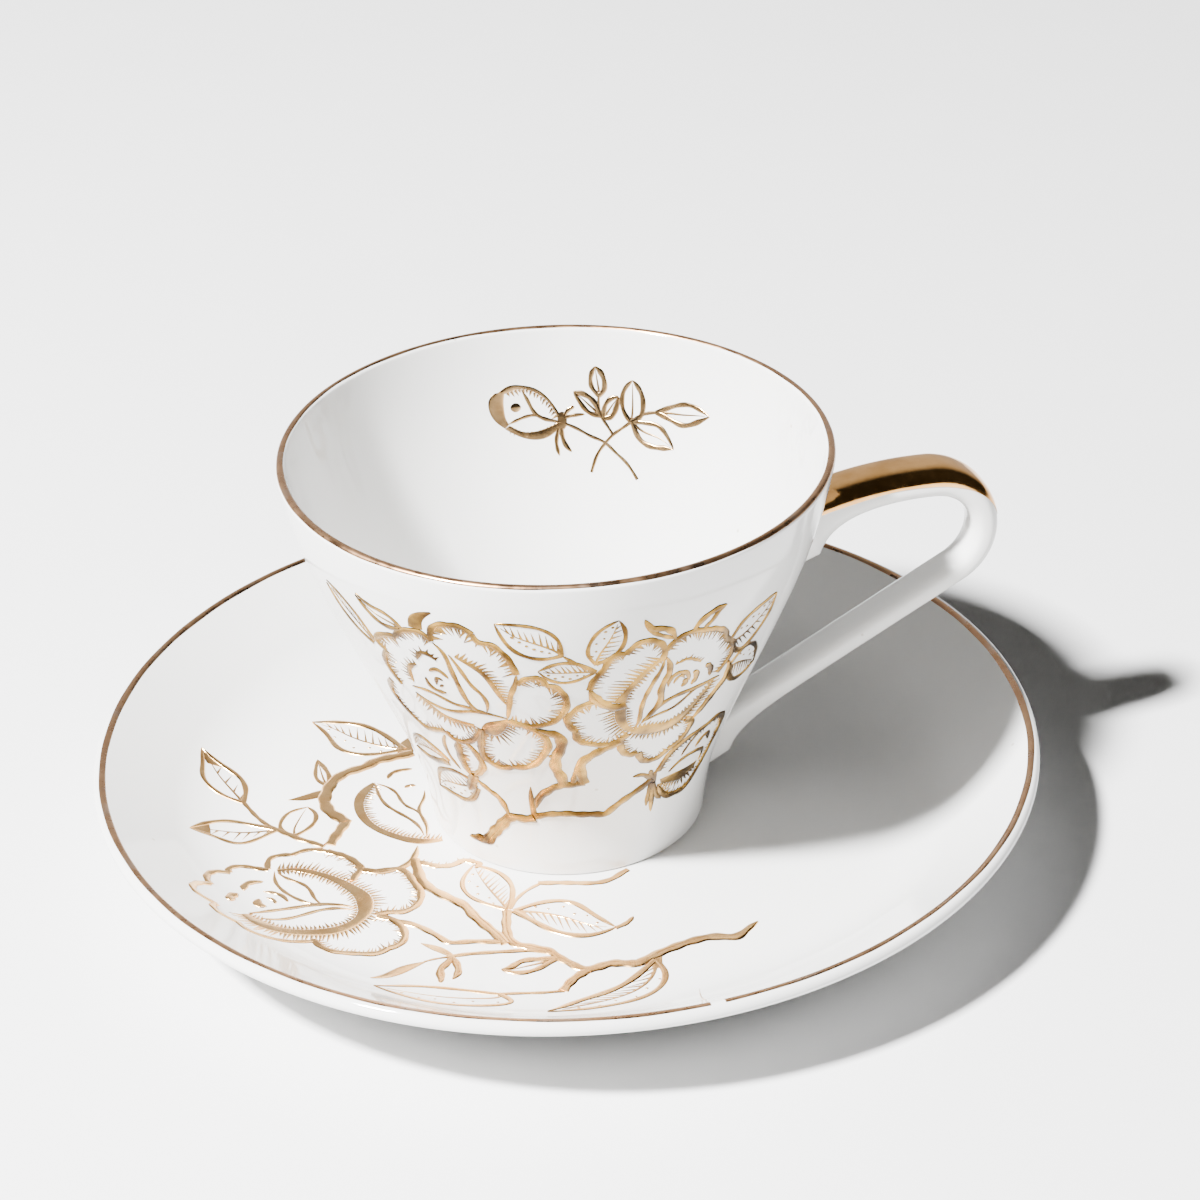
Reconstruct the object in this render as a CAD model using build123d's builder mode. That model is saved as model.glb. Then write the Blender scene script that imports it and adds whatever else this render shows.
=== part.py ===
"""Porcelain teacup on its saucer, both lined with bright gold.

The cup is a slender cone with a steep foot and a strap handle. The handle runs out level from below the
lip, turns down in a round elbow and comes back to the wall as a straight slanting arm. The cup stands, by
its own weight, on the flat well of a saucer with an upturned rim.

Frame: millimetres, +Z up, +X towards the handle. The origin is the centre of the saucer's foot ring, in
the plane that the saucer stands on. The handle's line lies in the plane Y = 0.
"""

import os
from math import cos, radians, sin

from build123d import *

# Saucer
SAUCER_RADIUS = 76.0
SAUCER_WALL = 2.5  # the same from the well to the rim, which ends in a full round
WELL_HEIGHT = 5.0  # upper surface of the well, where the cup stands
WELL_RADIUS = 50.0  # flat part of the well
RIM_ARC = 23.0  # radius of the turn from the well up into the rim
RIM_SLOPE = 37.0  # degrees
RING_RADIUS = 41.0  # outside of the foot ring
RING_WIDTH = 3.2
RING_ROUND = 0.6  # edges that the saucer stands on

# Cup, heights measured from the surface that it stands on
CUP_HEIGHT = 65.0
LIP_RADIUS = 43.0
LIP_WALL = 1.5  # wall thickness at the lip, which ends in a full round
LIP_LEAN = 11.0  # outward lean of the wall at the lip, degrees from upright
FOOT_RADIUS = 22.1
FOOT_LEAN = 6.0  # outward lean of the wall at the foot, degrees from upright
FOOT_WIDTH = 2.4
FOOT_ROUND = 0.5
FOOT_RECESS = 1.6  # depth of the hollow inside the foot
CUP_FLOOR = 3.2  # thickness of the bottom above that hollow
BOTTOM_FLAT = 11.0  # radius of the flat part of the inner bottom

# Wall outlines as (radius, height), from the foot up
WALL_OUTSIDE = [(23.0, 7.0), (24.9, 14.0), (28.8, 24.0), (35.6, 40.0), (40.9, 55.0)]
WALL_INSIDE = [(20.5, 10.5), (23.4, 16.0), (26.8, 24.0), (33.8, 40.0), (39.3, 55.0)]

# Handle
HANDLE_START = (35.5, 47.0)  # inner end of its line, inside the wall
CROWN_RADIUS = 56.0  # slow curve of the level arm
CROWN_RISE = 24.0  # direction of the level arm at the wall, degrees above level
CROWN_FALL = 1.5  # its direction where the elbow begins, degrees below level
ELBOW_RADIUS = 9.2
SLANT = 30.5  # slope of the slanting arm, degrees
SLANT_LENGTH = 50.5
CROWN_SECTION = (8.8, 5.2, 2.2)  # width, thickness and edge radius
SLANT_SECTION = (6.9, 4.1, 1.75)

# Gold lining
GILDING = 0.08  # thickness of every gold band
SAUCER_BAND = (75.0, 127.0)  # from and to, degrees above level on the rim's round edge
HANDLE_BAND_DROP = 1.1  # how far below the handle's line the gold comes down each flank
HANDLE_BAND_TURN = 82.0  # degrees of the elbow that are gilded

os.makedirs("parts", exist_ok=True)


def polar(centre, radius, degrees):
    """Point at an angle above level on a circle in a profile."""
    return (centre[0] + radius * cos(radians(degrees)), centre[1] + radius * sin(radians(degrees)))


def raised(point):
    """A profile point of the cup, lifted from its own base to the well."""
    return (point[0], point[1] + WELL_HEIGHT)


def heading(degrees):
    """Unit direction in a profile, at an angle above level."""
    return (cos(radians(degrees)), sin(radians(degrees)))


# ---- Saucer ----------------------------------------------------------------------------------------

edge_round = SAUCER_WALL / 2
turn_centre = (WELL_RADIUS, WELL_HEIGHT + RIM_ARC)
turn_end = polar(turn_centre, RIM_ARC, RIM_SLOPE - 90)
upper_edge_radius = SAUCER_RADIUS - edge_round - edge_round * sin(radians(RIM_SLOPE))
rim_length = (upper_edge_radius - turn_end[0]) / cos(radians(RIM_SLOPE))
upper_edge = polar(turn_end, rim_length, RIM_SLOPE)
edge_centre = polar(upper_edge, edge_round, RIM_SLOPE - 90)
lower_edge = polar(edge_centre, edge_round, RIM_SLOPE - 90)
lower_turn_end = polar(turn_centre, RIM_ARC + SAUCER_WALL, RIM_SLOPE - 90)
underside = WELL_HEIGHT - SAUCER_WALL
ring_inner = RING_RADIUS - RING_WIDTH

with BuildPart() as saucer_dish:
    with BuildSketch(Plane.XZ):
        with BuildLine():
            Polyline((0, underside), (0, WELL_HEIGHT), (WELL_RADIUS, WELL_HEIGHT))
            CenterArc(turn_centre, RIM_ARC, -90, RIM_SLOPE)
            Line(turn_end, upper_edge)
            CenterArc(edge_centre, edge_round, RIM_SLOPE + 90, -180)
            Line(lower_edge, lower_turn_end)
            CenterArc(turn_centre, RIM_ARC + SAUCER_WALL, RIM_SLOPE - 90, -RIM_SLOPE)
            Polyline(
                (WELL_RADIUS, underside),
                (RING_RADIUS, underside),
                (RING_RADIUS, 0),
                (ring_inner, 0),
                (ring_inner, underside),
                (0, underside),
            )
        make_face()
    revolve(axis=Axis.Z)
    fillet(saucer_dish.edges().group_by(Axis.Z)[0], RING_ROUND)
saucer_dish.part.label = "saucer_dish"

with BuildPart() as saucer_rim_gilding:
    with BuildSketch(Plane.XZ):
        start, end = SAUCER_BAND
        with BuildLine():
            CenterArc(edge_centre, edge_round, start, end - start)
            CenterArc(edge_centre, edge_round + GILDING, start, end - start)
            for side in SAUCER_BAND:
                Line(polar(edge_centre, edge_round, side), polar(edge_centre, edge_round + GILDING, side))
        make_face()
    revolve(axis=Axis.Z)
saucer_rim_gilding.part.label = "saucer_rim_gilding"

# ---- Cup -------------------------------------------------------------------------------------------

lip_round = LIP_WALL / 2
lip_centre = raised((LIP_RADIUS - GILDING - lip_round, CUP_HEIGHT - GILDING - lip_round))
lip_outer = polar(lip_centre, lip_round, -LIP_LEAN)
lip_inner = polar(lip_centre, lip_round, 180 - LIP_LEAN)
wall_lean = heading(90 - LIP_LEAN)
foot_lean = heading(90 - FOOT_LEAN)
foot_outer = raised((FOOT_RADIUS, 0))
inner_bottom = raised((BOTTOM_FLAT, FOOT_RECESS + CUP_FLOOR))
recess_radius = FOOT_RADIUS - FOOT_WIDTH

with BuildPart() as cup_bowl:
    with BuildSketch(Plane.XZ):
        with BuildLine():
            Spline(
                foot_outer,
                *[raised(point) for point in WALL_OUTSIDE],
                lip_outer,
                tangents=[foot_lean, wall_lean],
            )
            CenterArc(lip_centre, lip_round, -LIP_LEAN, 180)
            Spline(
                inner_bottom,
                *[raised(point) for point in WALL_INSIDE],
                lip_inner,
                tangents=[heading(0), wall_lean],
            )
            Polyline(
                inner_bottom,
                (0, inner_bottom[1]),
                raised((0, FOOT_RECESS)),
                raised((recess_radius, FOOT_RECESS)),
                raised((recess_radius, 0)),
                foot_outer,
            )
        make_face()
    revolve(axis=Axis.Z)
    fillet(cup_bowl.edges().group_by(Axis.Z)[0], FOOT_ROUND)
cup_bowl.part.label = "cup_bowl"

with BuildPart() as cup_lip_gilding:
    with BuildSketch(Plane.XZ):
        with BuildLine():
            CenterArc(lip_centre, lip_round, -LIP_LEAN, 180)
            CenterArc(lip_centre, lip_round + GILDING, -LIP_LEAN, 180)
            for side in (-LIP_LEAN, 180 - LIP_LEAN):
                Line(polar(lip_centre, lip_round, side), polar(lip_centre, lip_round + GILDING, side))
        make_face()
    revolve(axis=Axis.Z)
cup_lip_gilding.part.label = "cup_lip_gilding"

# The cup's outside as one filled body, which trims whatever is stuck on to the wall.
with BuildPart() as cup_outside:
    with BuildSketch(Plane.XZ):
        with BuildLine():
            Spline(
                foot_outer,
                *[raised(point) for point in WALL_OUTSIDE],
                lip_outer,
                tangents=[foot_lean, wall_lean],
            )
            Polyline(lip_outer, (0, lip_outer[1]), raised((0, 0)), foot_outer)
        make_face()
    revolve(axis=Axis.Z)

# ---- Handle ----------------------------------------------------------------------------------------

crown_turn = CROWN_RISE + CROWN_FALL
elbow_turn = 180 - SLANT - CROWN_FALL

with BuildLine(Plane.XZ) as handle_line:
    crown = JernArc(raised(HANDLE_START), heading(CROWN_RISE), CROWN_RADIUS, -crown_turn)
    elbow = JernArc(crown @ 1, crown % 1, ELBOW_RADIUS, -elbow_turn)
    slant = Line(elbow @ 1, elbow @ 1 + (elbow % 1) * SLANT_LENGTH)


def strap_sections(growth):
    """Rounded sections of the handle along its line, every side moved out by growth."""
    stations = [(crown, 0, CROWN_SECTION), (crown, 1, CROWN_SECTION)]
    stations += [(elbow, 1, SLANT_SECTION), (slant, 1, SLANT_SECTION)]
    sections = []
    for run, place, (width, thickness, edge) in stations:
        with BuildSketch(Plane(run @ place, x_dir=(0, 1, 0), z_dir=run % place)) as section:
            RectangleRounded(width + 2 * growth, thickness + 2 * growth, edge + growth)
        sections.append(section.sketch)
    return sections


with BuildPart() as cup_handle:
    sweep(strap_sections(0), path=handle_line.line, multisection=True)
    add(cup_outside.part, mode=Mode.SUBTRACT)
cup_handle.part.label = "cup_handle"

band_start = raised(HANDLE_START)
band_low = polar(band_start, HANDLE_BAND_DROP, CROWN_RISE - 90)
band_high = polar(band_start, CROWN_SECTION[1], CROWN_RISE + 90)

with BuildPart() as handle_gilding:
    sweep(strap_sections(GILDING), path=handle_line.line, multisection=True)
    add(cup_handle.part, mode=Mode.SUBTRACT)
    add(cup_outside.part, mode=Mode.SUBTRACT)
    with BuildSketch(Plane.XZ):
        with BuildLine():
            edges = []
            for corner, side in ((band_low, -HANDLE_BAND_DROP), (band_high, CROWN_SECTION[1])):
                level = JernArc(corner, heading(CROWN_RISE), CROWN_RADIUS + side, -crown_turn)
                edges.append(JernArc(level @ 1, level % 1, ELBOW_RADIUS + side, -HANDLE_BAND_TURN))
            Line(edges[0] @ 1, edges[1] @ 1)
            Line(band_low, band_high)
        make_face()
    extrude(amount=CROWN_SECTION[0], both=True, mode=Mode.INTERSECT)
handle_gilding.part.label = "handle_gilding"

for piece in (saucer_dish, saucer_rim_gilding, cup_bowl, cup_lip_gilding, cup_handle, handle_gilding):
    export_step(piece.part, f"parts/{piece.part.label}.step")
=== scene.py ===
"""Porcelain teacup on its saucer, with gold lines, a gilded handle and printed gold flowers.

Every shape is a surface worked out with numpy. Sizes are in millimetres and are scaled to metres when a
mesh is made. Heights on the cup are measured from the saucer's well, where the cup stands.
"""

import logging
import math
from abc import ABC, abstractmethod
from dataclasses import dataclass, field
from enum import Enum

import bpy
import numpy as np
from mathutils import Matrix


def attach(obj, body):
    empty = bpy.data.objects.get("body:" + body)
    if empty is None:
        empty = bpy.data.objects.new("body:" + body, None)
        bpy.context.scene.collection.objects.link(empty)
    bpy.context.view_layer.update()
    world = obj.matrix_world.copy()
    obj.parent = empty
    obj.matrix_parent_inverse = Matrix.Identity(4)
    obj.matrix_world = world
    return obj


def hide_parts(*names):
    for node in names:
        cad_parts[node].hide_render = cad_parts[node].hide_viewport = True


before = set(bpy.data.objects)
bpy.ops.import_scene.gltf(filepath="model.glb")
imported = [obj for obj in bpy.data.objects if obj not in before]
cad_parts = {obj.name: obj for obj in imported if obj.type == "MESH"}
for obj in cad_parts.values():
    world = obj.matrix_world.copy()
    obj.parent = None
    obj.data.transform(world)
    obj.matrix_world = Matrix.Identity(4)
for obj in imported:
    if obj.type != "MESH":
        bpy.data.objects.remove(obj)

LOG = logging.getLogger("teacup")
MM = 0.001  # metres
WELL = 5.0  # height of the saucer's well
LEAST_WIDTH = 0.05  # width that keeps a stroke's section open where it runs out
BOLDNESS = 1.4  # every stroke's width is multiplied by this
TAPER_SHARE = 0.22  # share of a stroke over which an end runs out
STROKE_SWAY = 0.1  # share by which a stroke's width swells and thins
STROKE_RISE = (0.04, 0.17)  # height of a stroke at no width, and its growth with width
PLATE_RISE = 0.08
DOT_RISE = 0.07
RIB_RISE = 0.07
SPIKE_RISE = 0.05
PRINT_SINK = 0.03  # how far a print's edges lie below the glaze
BAND_SINK = 0.05  # the same for the bands on round edges
TOOTH_PITCH = 0.66
TOOTH_WIDTH = 0.74
TOOTH_STRETCH = (1.0, 1.9)  # least and greatest length of a tooth, in reaches
TOOTH_LEAN = (0.05, 0.4)  # least and greatest lean of a tooth along its line
HATCH_WIDTH = 0.52
HATCH_REACH = (0.55, 0.85)  # least and greatest share of the way from the midrib to the edge
LEAF_DOTS = 6
Wave = tuple[float, int, float]
Points = tuple[tuple[float, float], ...]


class Taper(Enum):
    """Which ends of a gold stroke run out to a point."""

    NEITHER = "neither"
    START = "start"
    END = "end"
    BOTH = "both"


class Side(Enum):
    """One side of a line, seen along its direction."""

    NONE = 0
    LEFT = 1
    RIGHT = -1


# ---- Surfaces as whole arrays ----------------------------------------------------------------------


def spline(
    points: Points, count: int, start: float | None = None, end: float | None = None
) -> np.ndarray:
    """Cubic spline through points, with the chord length as its parameter.

    Slopes m solve m[i-1]/h[i-1] + 2 m[i] (1/h[i-1] + 1/h[i]) + m[i+1]/h[i] = 3 (d[i-1]/h[i-1] + d[i]/h[i]),
    where h are the chords and d the chord slopes. Each stretch is then a Hermite cubic.

    Args:
        points: the places that the curve passes through.
        count: how many samples, evenly spread along the chords.
        start: direction at the first point in degrees, or None for an end without bending.
        end: direction at the last point in degrees, or None for an end without bending.

    Returns:
        Array of shape (count, 2).
    """
    spots = np.asarray(points, float)
    chords = np.linalg.norm(np.diff(spots, axis=0), axis=1)
    knots = np.concatenate([[0.0], np.cumsum(chords)])
    rates = np.diff(spots, axis=0) / chords[:, None]
    last = len(spots) - 1
    system = np.zeros((last + 1, last + 1))
    target = np.zeros_like(spots)
    inner = np.arange(1, last)
    system[inner, inner - 1] = 1 / chords[:-1]
    system[inner, inner] = 2 * (1 / chords[:-1] + 1 / chords[1:])
    system[inner, inner + 1] = 1 / chords[1:]
    target[1:last] = 3 * (rates[:-1] / chords[:-1, None] + rates[1:] / chords[1:, None])
    system[0, :2], target[0] = (2, 1), 3 * rates[0]
    system[last, -2:], target[last] = (1, 2), 3 * rates[-1]
    for row, angle in ((0, start), (last, end)):
        if angle is not None:
            system[row] = 0
            system[row, row] = 1
            target[row] = (math.cos(math.radians(angle)), math.sin(math.radians(angle)))
    slopes = np.linalg.solve(system, target)
    places = np.linspace(0, knots[-1], count)
    piece = np.clip(np.searchsorted(knots, places, side="right") - 1, 0, last - 1)
    length = chords[piece][:, None]
    t = (places[:, None] - knots[piece][:, None]) / length
    ends = (2 * t**3 - 3 * t**2 + 1) * spots[piece] + (3 * t**2 - 2 * t**3) * spots[piece + 1]
    turns = (t**3 - 2 * t**2 + t) * slopes[piece] + (t**3 - t**2) * slopes[piece + 1]
    return ends + length * turns


def arc(centre: tuple[float, float], radius: float, start: float, end: float, count: int) -> np.ndarray:
    """Points on a circle in a profile, from one angle above level to another, in degrees."""
    turn = np.radians(np.linspace(start, end, count))
    return np.stack([centre[0] + radius * np.cos(turn), centre[1] + radius * np.sin(turn)], axis=1)


def grid_faces(rows: int, columns: int, ring_rows: bool, ring_columns: bool) -> np.ndarray:
    """Four-sided faces of a grid of vertices, numbered row by row, joined up where a direction is a ring.

    Args:
        rows: vertices one way.
        columns: vertices the other way.
        ring_rows: whether the last row joins the first.
        ring_columns: whether the last column joins the first.

    Returns:
        Vertex numbers, shape (faces, 4).
    """
    row, column = np.meshgrid(
        np.arange(rows if ring_rows else rows - 1),
        np.arange(columns if ring_columns else columns - 1),
        indexing="ij",
    )
    here, below, beside = row * columns, (row + 1) % rows * columns, (column + 1) % columns
    corners = [here + column, below + column, below + beside, here + beside]
    return np.stack(corners, axis=-1).reshape(-1, 4)


@dataclass
class Skin:
    """Vertices in millimetres and the four- and three-sided faces of closed shapes."""

    spots: list[np.ndarray] = field(default_factory=list)
    fours: list[np.ndarray] = field(default_factory=list)
    threes: list[np.ndarray] = field(default_factory=list)
    size: int = 0

    def add(self, spots: np.ndarray, fours: np.ndarray, threes: np.ndarray) -> None:
        """Takes in one closed shape, turned inside out first if its volume comes out negative.

        Args:
            spots: vertices in millimetres.
            fours: four-sided faces.
            threes: three-sided faces.
        """
        corners = np.concatenate([fours[:, [0, 1, 2]], fours[:, [0, 2, 3]], threes])
        a, b, c = (spots[corners[:, i]] - spots.mean(axis=0) for i in range(3))
        if np.einsum("ij,ij->", a, np.cross(b, c)) < 0:
            fours, threes = fours[:, ::-1], threes[:, ::-1]
        self.spots.append(spots)
        self.fours.append(fours + self.size)
        self.threes.append(threes + self.size)
        self.size += len(spots)

    def add_turned(self, profile: np.ndarray, segments: int) -> None:
        """A solid of revolution. The profile (radius, height) runs from the axis back to the axis.

        Point (i, j) is (r_j cos a_i, r_j sin a_i, z_j) with a_i = 2 pi i / segments. Its first and last
        points are single vertices on the axis.

        Args:
            profile: points (radius, height).
            segments: faces in one turn.
        """
        turn = 2 * np.pi * np.arange(segments) / segments
        radius, height = profile[1:-1, 0], profile[1:-1, 1]
        walls = np.stack(
            [
                np.outer(np.cos(turn), radius),
                np.outer(np.sin(turn), radius),
                np.broadcast_to(height, (segments, len(height))),
            ],
            axis=-1,
        ).reshape(-1, 3)
        columns = len(radius)
        poles = np.array([[0, 0, profile[0, 1]], [0, 0, profile[-1, 1]]])
        here = np.arange(segments) * columns
        there = np.roll(here, -1)
        first, second = segments * columns, segments * columns + 1
        fans = [
            np.stack([np.full(segments, first), there, here], axis=1),
            np.stack([np.full(segments, second), here + columns - 1, there + columns - 1], axis=1),
        ]
        faces = grid_faces(segments, columns, True, False)
        self.add(np.concatenate([walls, poles]), faces, np.concatenate(fans))

    def add_loops(self, rings: np.ndarray, closed: bool) -> None:
        """Closed tubes from an array (tubes, stations, ring, 3), each a ring itself or capped by fans.

        Args:
            rings: points, shape (tubes, stations, ring, 3).
            closed: whether each tube is a ring itself.
        """
        tubes, stations, ring, _ = rings.shape
        faces = grid_faces(stations, ring, closed, True)
        steps = np.arange(tubes)[:, None, None] * stations * ring
        fans = np.zeros((0, 3), int)
        if not closed:
            hub = np.zeros(ring - 2, int)
            spokes = np.stack([hub, np.arange(1, ring - 1), np.arange(2, ring)], axis=1)
            fans = np.concatenate([spokes, spokes[:, ::-1] + (stations - 1) * ring])
            fans = (fans[None] + steps).reshape(-1, 3)
        self.add(rings.reshape(-1, 3), (faces[None] + steps).reshape(-1, 4), fans)

    def make(self, name: str, finish: bpy.types.Material, sharp: float = 50.0) -> bpy.types.Object:
        """Puts the shapes into one object.

        Args:
            name: the piece's name.
            finish: its material.
            sharp: angle in degrees past which an edge isn't smoothed.

        Returns:
            The new object, at the origin.
        """
        fours, threes = np.concatenate(self.fours), np.concatenate(self.threes)
        totals = np.concatenate([np.full(len(fours), 4), np.full(len(threes), 3)])
        mesh = bpy.data.meshes.new(name)
        mesh.vertices.add(self.size)
        mesh.vertices.foreach_set("co", (np.concatenate(self.spots) * MM).ravel())
        mesh.loops.add(int(totals.sum()))
        mesh.loops.foreach_set("vertex_index", np.concatenate([fours.ravel(), threes.ravel()]))
        mesh.polygons.add(len(totals))
        mesh.polygons.foreach_set("loop_start", np.concatenate([[0], np.cumsum(totals)[:-1]]))
        mesh.polygons.foreach_set("use_smooth", np.ones(len(totals), bool))
        mesh.update(calc_edges=True)
        mesh.validate()
        mesh.set_sharp_from_angle(angle=math.radians(sharp))
        mesh.materials.append(finish)
        piece = bpy.data.objects.new(name, mesh)
        bpy.context.scene.collection.objects.link(piece)
        LOG.info("%s: %d vertices, %d faces", name, len(mesh.vertices), len(mesh.polygons))
        return piece


# ---- Finishes --------------------------------------------------------------------------------------


class NodePad:
    """The node tree of one new material, with short ways to add and join nodes."""

    def __init__(self, name: str) -> None:
        """Makes the material with a principled shader joined to its output.

        Args:
            name: its name.
        """
        self.material = bpy.data.materials.new(name)
        self.material.use_nodes = True
        self.tree = self.material.node_tree
        self.shader = self.tree.nodes["Principled BSDF"]
        self.place = self.tree.nodes.new("ShaderNodeTexCoord").outputs["Object"]

    def node(self, kind: str, **settings: object) -> bpy.types.Node:
        """Adds a node and sets its properties.

        Args:
            kind: the node's type.
            settings: properties to set.

        Returns:
            The new node.
        """
        made = self.tree.nodes.new(kind)
        for name, value in settings.items():
            setattr(made, name, value)
        return made

    def join(self, source: bpy.types.NodeSocket, target: bpy.types.NodeSocket) -> None:
        """Joins two sockets."""
        self.tree.links.new(source, target)

    def clouds(self, scale: float, detail: float = 2.0) -> bpy.types.NodeSocket:
        """Soft noise over the object, with about scale patches to a metre.

        Args:
            scale: patches to a metre.
            detail: octaves of the noise.

        Returns:
            The noise, 0 to 1.
        """
        made = self.node("ShaderNodeTexNoise")
        made.inputs["Scale"].default_value = scale
        made.inputs["Detail"].default_value = detail
        self.join(self.place, made.inputs["Vector"])
        return made.outputs["Fac"]

    def ranged(self, source: bpy.types.NodeSocket, old: tuple, new: tuple) -> bpy.types.NodeSocket:
        """Carries a value from one range to another, clamped.

        Args:
            source: the value that drives it.
            old: range that comes in.
            new: range that goes out.

        Returns:
            The value carried over.
        """
        made = self.node("ShaderNodeMapRange")
        for socket, value in zip(("From Min", "From Max", "To Min", "To Max"), (*old, *new)):
            made.inputs[socket].default_value = value
        self.join(source, made.inputs["Value"])
        return made.outputs["Result"]

    def blend(self, factor: bpy.types.NodeSocket, first: object, second: object) -> bpy.types.NodeSocket:
        """Mixes two colours, each a colour or a socket.

        Args:
            factor: share of the second colour.
            first: colour or socket.
            second: colour or socket.

        Returns:
            The mixed colour.
        """
        made = self.node("ShaderNodeMix", data_type="RGBA")
        self.join(factor, made.inputs["Factor"])
        for socket, value in ((made.inputs[6], first), (made.inputs[7], second)):
            if isinstance(value, bpy.types.NodeSocket):
                self.join(value, socket)
            else:
                socket.default_value = (*value, 1.0)
        return made.outputs[2]

    def rough(self, source: bpy.types.NodeSocket, height: float, strength: float) -> None:
        """Bump from a value, with its full height in metres.

        Args:
            source: the value that drives it.
            height: full height in metres.
            strength: share of the bump that shows.
        """
        made = self.node("ShaderNodeBump")
        made.inputs["Distance"].default_value = height
        made.inputs["Strength"].default_value = strength
        self.join(source, made.inputs["Height"])
        self.join(made.outputs["Normal"], self.shader.inputs["Normal"])


@dataclass(frozen=True)
class GlazedPorcelain:
    """Hard white porcelain under a clear glaze that is very slightly uneven, with rare fine specks."""

    name: str = "glazed_porcelain"
    white: tuple[float, float, float] = (0.72, 0.715, 0.70)
    shade: tuple[float, float, float] = (0.69, 0.69, 0.68)
    speck: tuple[float, float, float] = (0.36, 0.30, 0.23)
    speck_size: float = 0.035
    speck_scale: float = 95
    gloss: tuple[float, float] = (0.04, 0.09)
    ripple: float = 0.00006
    index: float = 1.42

    def material(self) -> bpy.types.Material:
        """Makes the material.

        Returns:
            The new material.
        """
        pad = NodePad(self.name)
        body = pad.blend(pad.ranged(pad.clouds(22, 3), (0.35, 0.7), (0, 1)), self.white, self.shade)
        cells = pad.node("ShaderNodeTexVoronoi")
        cells.inputs["Scale"].default_value = self.speck_scale
        pad.join(pad.place, cells.inputs["Vector"])
        edge = (self.speck_size * 0.6, self.speck_size)
        spots = pad.ranged(cells.outputs["Distance"], edge, (0.55, 0))
        pad.join(pad.blend(spots, body, self.speck), pad.shader.inputs["Base Color"])
        pad.join(pad.ranged(pad.clouds(70, 4), (0.3, 0.7), self.gloss), pad.shader.inputs["Roughness"])
        pad.rough(pad.clouds(120, 2), self.ripple, 0.35)
        pad.shader.inputs["IOR"].default_value = self.index
        return pad.material


@dataclass(frozen=True)
class FiredGold:
    """Burnished gold fired on to glaze: streaky gloss, deeper patches and some wear."""

    name: str
    bright: tuple[float, float, float]
    deep: tuple[float, float, float]
    worn: tuple[float, float, float]
    gloss: tuple[float, float] = (0.12, 0.3)
    wear: float = 0.35
    scratch: float = 0.00004

    def material(self) -> bpy.types.Material:
        """Makes the material.

        Returns:
            The new material.
        """
        pad = NodePad(self.name)
        metal = pad.blend(pad.ranged(pad.clouds(260, 3), (0.35, 0.65), (0, 1)), self.bright, self.deep)
        rubbed = pad.ranged(pad.clouds(140, 6), (0.56, 0.68), (0, self.wear))
        pad.join(pad.blend(rubbed, metal, self.worn), pad.shader.inputs["Base Color"])
        pad.join(pad.ranged(pad.clouds(420, 4), (0.3, 0.7), self.gloss), pad.shader.inputs["Roughness"])
        pad.rough(pad.clouds(650, 3), self.scratch, 0.5)
        pad.shader.inputs["Metallic"].default_value = 1.0
        return pad.material


@dataclass(frozen=True)
class CrackStain:
    """Tea-brown dirt in a hairline crack."""

    name: str = "crack_stain"
    dark: tuple[float, float, float] = (0.30, 0.20, 0.12)
    pale: tuple[float, float, float] = (0.55, 0.47, 0.38)
    gloss: tuple[float, float] = (0.5, 0.8)
    pit: float = 0.00003

    def material(self) -> bpy.types.Material:
        """Makes the material.

        Returns:
            The new material.
        """
        pad = NodePad(self.name)
        tint = pad.blend(pad.ranged(pad.clouds(300, 4), (0.4, 0.6), (0, 1)), self.dark, self.pale)
        pad.join(tint, pad.shader.inputs["Base Color"])
        pad.join(pad.ranged(pad.clouds(900, 2), (0.3, 0.7), self.gloss), pad.shader.inputs["Roughness"])
        pad.rough(pad.clouds(2000, 2), self.pit, 0.5)
        return pad.material


@dataclass(frozen=True)
class MattTable:
    """Pale matt table top."""

    name: str = "matt_table"
    darker: tuple[float, float, float] = (0.69, 0.69, 0.69)
    paler: tuple[float, float, float] = (0.73, 0.73, 0.73)
    gloss: tuple[float, float] = (0.6, 0.7)

    def material(self) -> bpy.types.Material:
        """Makes the material.

        Returns:
            The new material.
        """
        pad = NodePad(self.name)
        tint = pad.blend(pad.clouds(3, 2), self.darker, self.paler)
        pad.join(tint, pad.shader.inputs["Base Color"])
        pad.join(pad.ranged(pad.clouds(40, 3), (0.3, 0.7), self.gloss), pad.shader.inputs["Roughness"])
        return pad.material


@dataclass(frozen=True)
class Finishes:
    """The set's materials."""

    porcelain: bpy.types.Material
    # gold of the cup's prints, darkened with painted shade
    cup_gold: bpy.types.Material
    saucer_gold: bpy.types.Material
    handle_gold: bpy.types.Material
    inner_gold: bpy.types.Material
    worn_gold: bpy.types.Material
    crack: bpy.types.Material

    @classmethod
    def mixed(cls) -> "Finishes":
        """Makes every finish once.

        Returns:
            The set of materials.
        """
        # The cup's gold is far darker than the saucer's, with near-black deep patches: painted shade
        # standing in for dark reflections on the gold.
        cup = FiredGold("cup_gold", (0.38, 0.215, 0.045), (0.075, 0.036, 0.007),
                        (0.03, 0.015, 0.006), wear=0.7)
        saucer = FiredGold("saucer_gold", (0.98, 0.60, 0.25), (0.84, 0.47, 0.17), (0.40, 0.23, 0.10))
        handle = FiredGold(
            "handle_gold", (0.88, 0.48, 0.17), (0.72, 0.37, 0.11), (0.36, 0.19, 0.09), (0.07, 0.18), 0.2
        )
        inner = FiredGold("inner_gold", (0.48, 0.31, 0.15), (0.32, 0.19, 0.08), (0.14, 0.09, 0.05))
        worn = FiredGold(
            "worn_gold", (0.52, 0.30, 0.16), (0.42, 0.23, 0.12), (0.46, 0.36, 0.29), (0.2, 0.4), 0.5
        )
        return cls(
            porcelain=GlazedPorcelain().material(),
            cup_gold=cup.material(),
            saucer_gold=saucer.material(),
            handle_gold=handle.material(),
            inner_gold=inner.material(),
            worn_gold=worn.material(),
            crack=CrackStain().material(),
        )


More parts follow.
